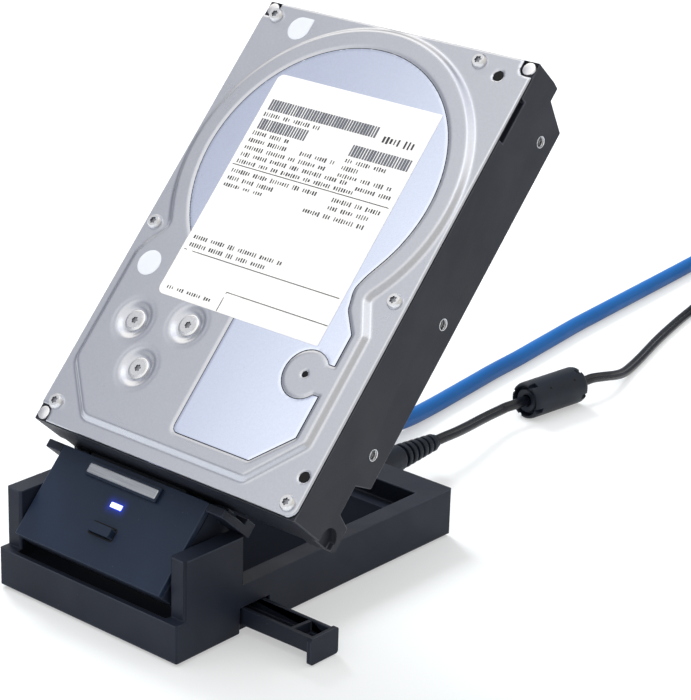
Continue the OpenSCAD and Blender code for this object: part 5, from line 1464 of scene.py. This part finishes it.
adapter = {
    "reliefLong": 6.0, "body": {"size": (34.0, 50.0), "corner": 4.0, "rows": [
        (0.0, 2.4), (0.3, 1.2), (1.0, 0.4), (2.2, 0.0), (13.6, 0.0), (13.75, 0.4), (14.25, 0.4), (14.4, 0.0),
        (26.2, 0.0), (27.8, 0.45), (28.7, 1.3), (29.0, 2.6), (29.0, 3.6), (28.7, 3.8), (28.7, 4.3), (29.0, 4.5)]},
    "relief": [
        (0.0, 0.0), (2.3, 0.0), (2.4, 0.9), (2.05, 1.0), (2.05, 1.5), (2.7, 1.6), (2.8, 2.5), (2.3, 2.6), (2.3, 3.1),
        (3.1, 3.2), (3.2, 4.1), (2.6, 4.2), (2.6, 4.8), (3.5, 4.9), (3.5, 6.3), (0.0, 6.3)],
    "blade": (6.2, 1.5, 17.0), "bladeSunk": 0.4, "bladePitch": 12.7, "bladeCorner": 1.0, "bladeHole": (11.6, 1.6),
    "bladeStep": 0.3, "bladeEdge": 0.2,
}
tieRound = 0.25
outward = turned(-90, "X")


def makePlug():
    space = tableSpace @ shift(plug["start"]) @ outward
    body = latheMesh("plugBody", plug["body"], space, sides=64)
    ribs = runTree(reliefRibs, "plugRibs", "plugBlack", plug["ribs"])
    ribs.transform(space @ shift((0, 0, plug["firstRib"])))
    mesh = joinMeshes("powerPlug", [body, ribs], sharpAngle=34)
    return newPiece("powerPlug", mesh, "plugBlack", "base", "plug_black", "dc_plug")


def makeSleeve():
    start = ferriteMiddle - ferriteWay * ferrite["length"] / 2
    space = tableSpace @ shift(start) @ turned(-ferrite["turn"], "Z") @ outward
    mesh = latheMesh("ferriteSleeve", sleeve["profile"], sides=120)
    nearRim, farRim = sleeve["rims"]
    for vertex in mesh.vertices:
        x, y, along = vertex.co
        turn, radius = degrees(atan2(y, x)) % 360, hypot(x, y)
        cut = any(abs(turn - notch) < sleeve["notchHalf"] for notch in sleeve["notches"])
        if cut and not nearRim <= along <= farRim and radius > sleeve["notchRadius"]:
            share = sleeve["notchKeep"] + (1 - sleeve["notchKeep"]) * sleeve["notchRadius"] / radius
            vertex.co.x, vertex.co.y = x * share, y * share
    mesh.transform(space)
    smoothMesh(mesh, sharpAngle=34)
    body = newPiece("ferriteSleeve", mesh, "plugBlack", "base", "plug_black", "ferrite_core")
    out = ferrite["radius"] + sleeve["proud"] - sleeve["mark"][0] / 2
    spots = [space @ turned(turn, "Z") @ shift((out, 0, along)) for turn, along in sleeve["marks"]]
    marks = newPiece("sleeveMarks", blockMesh("sleeveMarks", spots, sleeve["mark"]), "seamDark", "base", "plug_black")
    return body, marks


def gripped(part):
    first, pitch, count = part["grips"]
    rows = [(first + pitch * i + along, deep) for i in range(count) for along, deep in grip]
    return {**part["body"], "rows": sorted(part["body"]["rows"] + rows)}


def corners(node):
    low, high = (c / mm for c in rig.box(node))
    return low, (low + high) / 2


def makeDataPlug():
    low, middle = corners("usb_plug")
    space = tableSpace @ shift((middle.x, low.y + dataPlug["start"], middle.z)) @ outward
    body = stackMesh("plugBody", space, **gripped(dataPlug))
    wide, narrow, long, ribs = dataPlug["relief"]
    start = dataPlug["body"]["rows"][-1][0]
    profile = [(0.0, start - dataPlug["reliefSunk"])]
    for i in range(ribs):
        for share, cut in dataPlug["ribShares"]:
            t = (i + share) / ribs
            profile.append((wide + (narrow - wide) * t - cut * dataPlug["reliefDeep"], start + long * t))
    profile += [(narrow, start + long), (0.0, start + long)]
    relief = latheMesh("plugRelief", profile, space, sides=48)
    shell = stackMesh("dataPlugShell", space, **dataPlug["shell"])
    return [
        newPiece("dataPlug", [body, relief], "cableBlue", "base", "cable_blue", "usb_plug"),
        newPiece("dataPlugShell", shell, "socketSteel", "base", "socket_steel")]


def makeFarPlug():
    low, middle = corners("usb_far_plug")
    sideways = Matrix(((0, 0, 1, 0), (1, 0, 0, 0), (0, 1, 0, 0), (0, 0, 0, 1)))
    space = tableSpace @ shift((low.x, middle.y, middle.z)) @ sideways
    up = farPlug["tongueUp"]
    body = stackMesh("farPlug", space, **gripped(farPlug))
    shell = stackMesh("farPlugShell", space, **farPlug["shell"])
    tongue = stackMesh("farPlugTongue", space @ shift((0, up, 0)), **farPlug["tongue"])
    across, along, size = farPlug["contacts"]
    top = up + farPlug["tongue"]["size"][1] / 2
    contacts = blockMesh("farPlugContacts", [space @ shift((x, top, along)) for x in across], size)
    across, along, size = farPlug["windows"]
    half = farPlug["shell"]["size"][1] / 2
    windows = blockMesh(
        "farPlugWindows", [space @ shift((x, side * half, along)) for x in across for side in (-1, 1)], size)
    return [
        newPiece("farPlug", body, "cableBlue", "base", "cable_blue", "usb_far_plug"),
        newPiece("farPlugShell", shell, "socketSteel", "base", "socket_steel"),
        newPiece("farPlugTongue", tongue, "plugBlack", "base", "plug_black"),
        newPiece("farPlugContacts", contacts, "goldContact", "base", "screw_steel"),
        newPiece("farPlugWindows", windows, "seamDark", "base", "plug_black")]


def makeAdapter():
    low, middle = corners("power_adapter")
    body = adapter["body"]
    across = shift((low.x + adapter["reliefLong"] + body["size"][0] / 2, middle.y, 0))
    box = stackMesh("adapterBox", tableSpace @ across, **body)
    cordEnd = shift(powerPath[-1] / mm) @ turned(90, "Y")
    relief = latheMesh("adapterRelief", adapter["relief"], tableSpace @ cordEnd, sides=48)
    wide, thick, long = adapter["blade"]
    holeUp, holeRadius = adapter["bladeHole"]
    ends = (-wide / 2, -adapter["bladeSunk"]), (wide / 2, long)
    upright = Matrix(((1, 0, 0, 0), (0, 0, -1, 0), (0, 1, 0, 0), (0, 0, 0, 1)))
    blades = []
    for side in (-1, 1):
        spot = across @ shift((0, side * adapter["bladePitch"] / 2, body["rows"][-1][0])) @ upright
        blades.append(reliefMesh(
            "blade", lambda u, v: np.maximum(
                slab(u, v, *ends, adapter["bladeCorner"]), -disc(u, v, (0, holeUp), holeRadius)),
            level(thick / 2), ends, adapter["bladeStep"], adapter["bladeEdge"], -thick / 2, space=tableSpace @ spot))
    blades = joinMeshes("adapterBlades", blades, sharpAngle=50)
    return [
        newPiece("powerAdapter", [box, relief], "plugBlack", "base", "plug_black", "power_adapter"),
        newPiece("adapterBlades", blades, "socketSteel", "base", "socket_steel", "adapter_blades")]


def makeTie(node, name):
    return roundedPiece(node, name, tieRound, "footRubber", "base", "plug_black")


powerPlug = makePlug()
ferriteSleeve, sleeveMarks = makeSleeve()
dataEnds = [*makeDataPlug(), *makeFarPlug(), makeTie("usb_tie", "dataTie")]
powerEnds = [*makeAdapter(), makeTie("dc_tie", "powerTie")]

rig.cord(
    dataCable, exit=dataPath[0], length=pathLength(dataPath), diameter=dataCord["diameter"] * mm, far_end="plug",
    stiffness="medium", lay="coiled", with_pieces=dataEnds)
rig.cord(
    powerLead, exit=powerPath[0], length=pathLength(powerPath), diameter=powerCord["diameter"] * mm, far_end="plug",
    stiffness="medium", lay="coiled", path=powerPath,
    with_pieces=[powerPlug, ferriteSleeve, sleeveMarks, *powerEnds])
print("cords declared")

# Floor, world and lamps. The room is brightest high up in front, so that bent metal shows its form.
studio = {
    "floor": 3.0, "floorGlow": 0.41, "floorTint": (0.51, 0.535, 0.56, 1.0),
    "bright": (-0.1, -0.62, 0.78), "horizon": (0.06, 0.2), "haze": (0.74, 0.73, 0.71, 1),
    "room": [  # how far towards the bright part, tone
        (0.25, (0.26, 0.28, 0.32, 1)), (0.72, (0.46, 0.475, 0.515, 1)), (0.795, (0.65, 0.66, 0.7, 1)),
        (0.82, (0.8, 0.81, 0.84, 1)), (0.836, (0.98, 0.99, 1.0, 1)), (0.852, (1.2, 1.2, 1.18, 1)),
        (0.9, (1.3, 1.28, 1.22, 1))],
    "rightWall": (0.85, 0.82, 0.75, 1), "rightFrom": (0.0, 0.4),
    "leftPatch": (1.8, 1.72, 1.56, 1), "leftWay": (-0.66, 0.33, 0.68), "leftFrom": (0.86, 0.97),
    "lamps": [  # name, place, aim, size, power, mirrored
        ("keyLamp", (-1.1, 0.55, 1.05), (0.0, 0.1, 0.03), 0.45, 19.0, False),
        ("topLamp", (0.15, 0.2, 1.7), (0.0, 0.06, 0.03), 1.8, 8.0, True),
    ],
}
white = (1, 1, 1, 1)


def seenRays(tree):
    rays = addNode(tree, "ShaderNodeLightPath").outputs
    seen = calc(tree, "MAXIMUM", rays["Is Camera Ray"], rays["Is Glossy Ray"])
    return rays, calc(tree, "MAXIMUM", seen, rays["Is Transmission Ray"])


def bareTree(block):
    block.use_nodes = True
    block.node_tree.nodes.clear()
    return block.node_tree


def makeFloor():
    half = studio["floor"]
    mesh = bpy.data.meshes.new("studioFloor")
    mesh.from_pydata([(-half, -half, 0), (half, -half, 0), (half, half, 0), (-half, half, 0)], [], [(0, 1, 2, 3)])
    material = bpy.data.materials.new("studioFloor")
    tree = bareTree(material)
    seen = seenRays(tree)[1]
    glow = addNode(tree, "ShaderNodeEmission", {"Color": white, "Strength": times(tree, seen, studio["floorGlow"])})
    matt = addNode(tree, "ShaderNodeBsdfDiffuse", {"Color": studio["floorTint"]})
    both = addNode(tree, "ShaderNodeAddShader", {0: glow.outputs[0], 1: matt.outputs[0]})
    addNode(tree, "ShaderNodeOutputMaterial", {"Surface": both.outputs[0]})
    mesh.materials.append(material)
    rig.stage(addObject("studioFloor", mesh))


def makeWorld():
    world = bpy.data.worlds.new("studioWorld")
    tree = bareTree(world)
    way = addNode(tree, "ShaderNodeTexCoord").outputs["Generated"]

    def towards(direction):
        return addNode(tree, "ShaderNodeVectorMath", {0: way, 1: direction}, operation="DOT_PRODUCT").outputs["Value"]

    room = addNode(tree, "ShaderNodeValToRGB", {"Fac": towards(studio["bright"])})
    stops = room.color_ramp.elements
    for i, (place, tone) in enumerate(studio["room"]):
        stop = stops[i] if i < len(stops) else stops.new(place)
        stop.position, stop.color = place, tone
    axes = splitAxes(tree, way)
    right = spread(tree, axes["X"], *studio["rightFrom"])
    walls = mixTone(tree, right, room.outputs["Color"], studio["rightWall"], "LIGHTEN")
    left = spread(tree, towards(studio["leftWay"]), *studio["leftFrom"])
    walls = mixTone(tree, left, walls, studio["leftPatch"], "LIGHTEN")
    rays, seen = seenRays(tree)
    low = times(tree, seen, spread(tree, axes["Z"], *studio["horizon"], 1.0, 0.0))
    haze = mixTone(tree, rays["Is Glossy Ray"], white, studio["haze"])
    back = addNode(tree, "ShaderNodeBackground", {"Color": mixTone(tree, low, walls, haze), "Strength": 1.0})
    addNode(tree, "ShaderNodeOutputWorld", {"Surface": back.outputs[0]})
    bpy.context.scene.world = world


def makeLamps():
    for name, place, aim, size, power, mirrored in studio["lamps"]:
        light = bpy.data.lights.new(name, "AREA")
        light.shape, light.size, light.energy = "SQUARE", size, power
        lamp = addObject(name, light)
        lamp.location = place
        lamp.visible_glossy = mirrored
        lamp.rotation_euler = (Vector(aim) - Vector(place)).to_track_quat("-Z", "Y").to_euler()


makeFloor()
makeWorld()
makeLamps()
bpy.context.scene.view_settings.view_transform = "Standard"

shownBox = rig.bounds()
with open("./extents.json", "w") as sizeFile:
    json.dump({"cad": [list(c) for c in cadBox], "visual": [list(c) for c in shownBox]}, sizeFile)
print("scene ready")
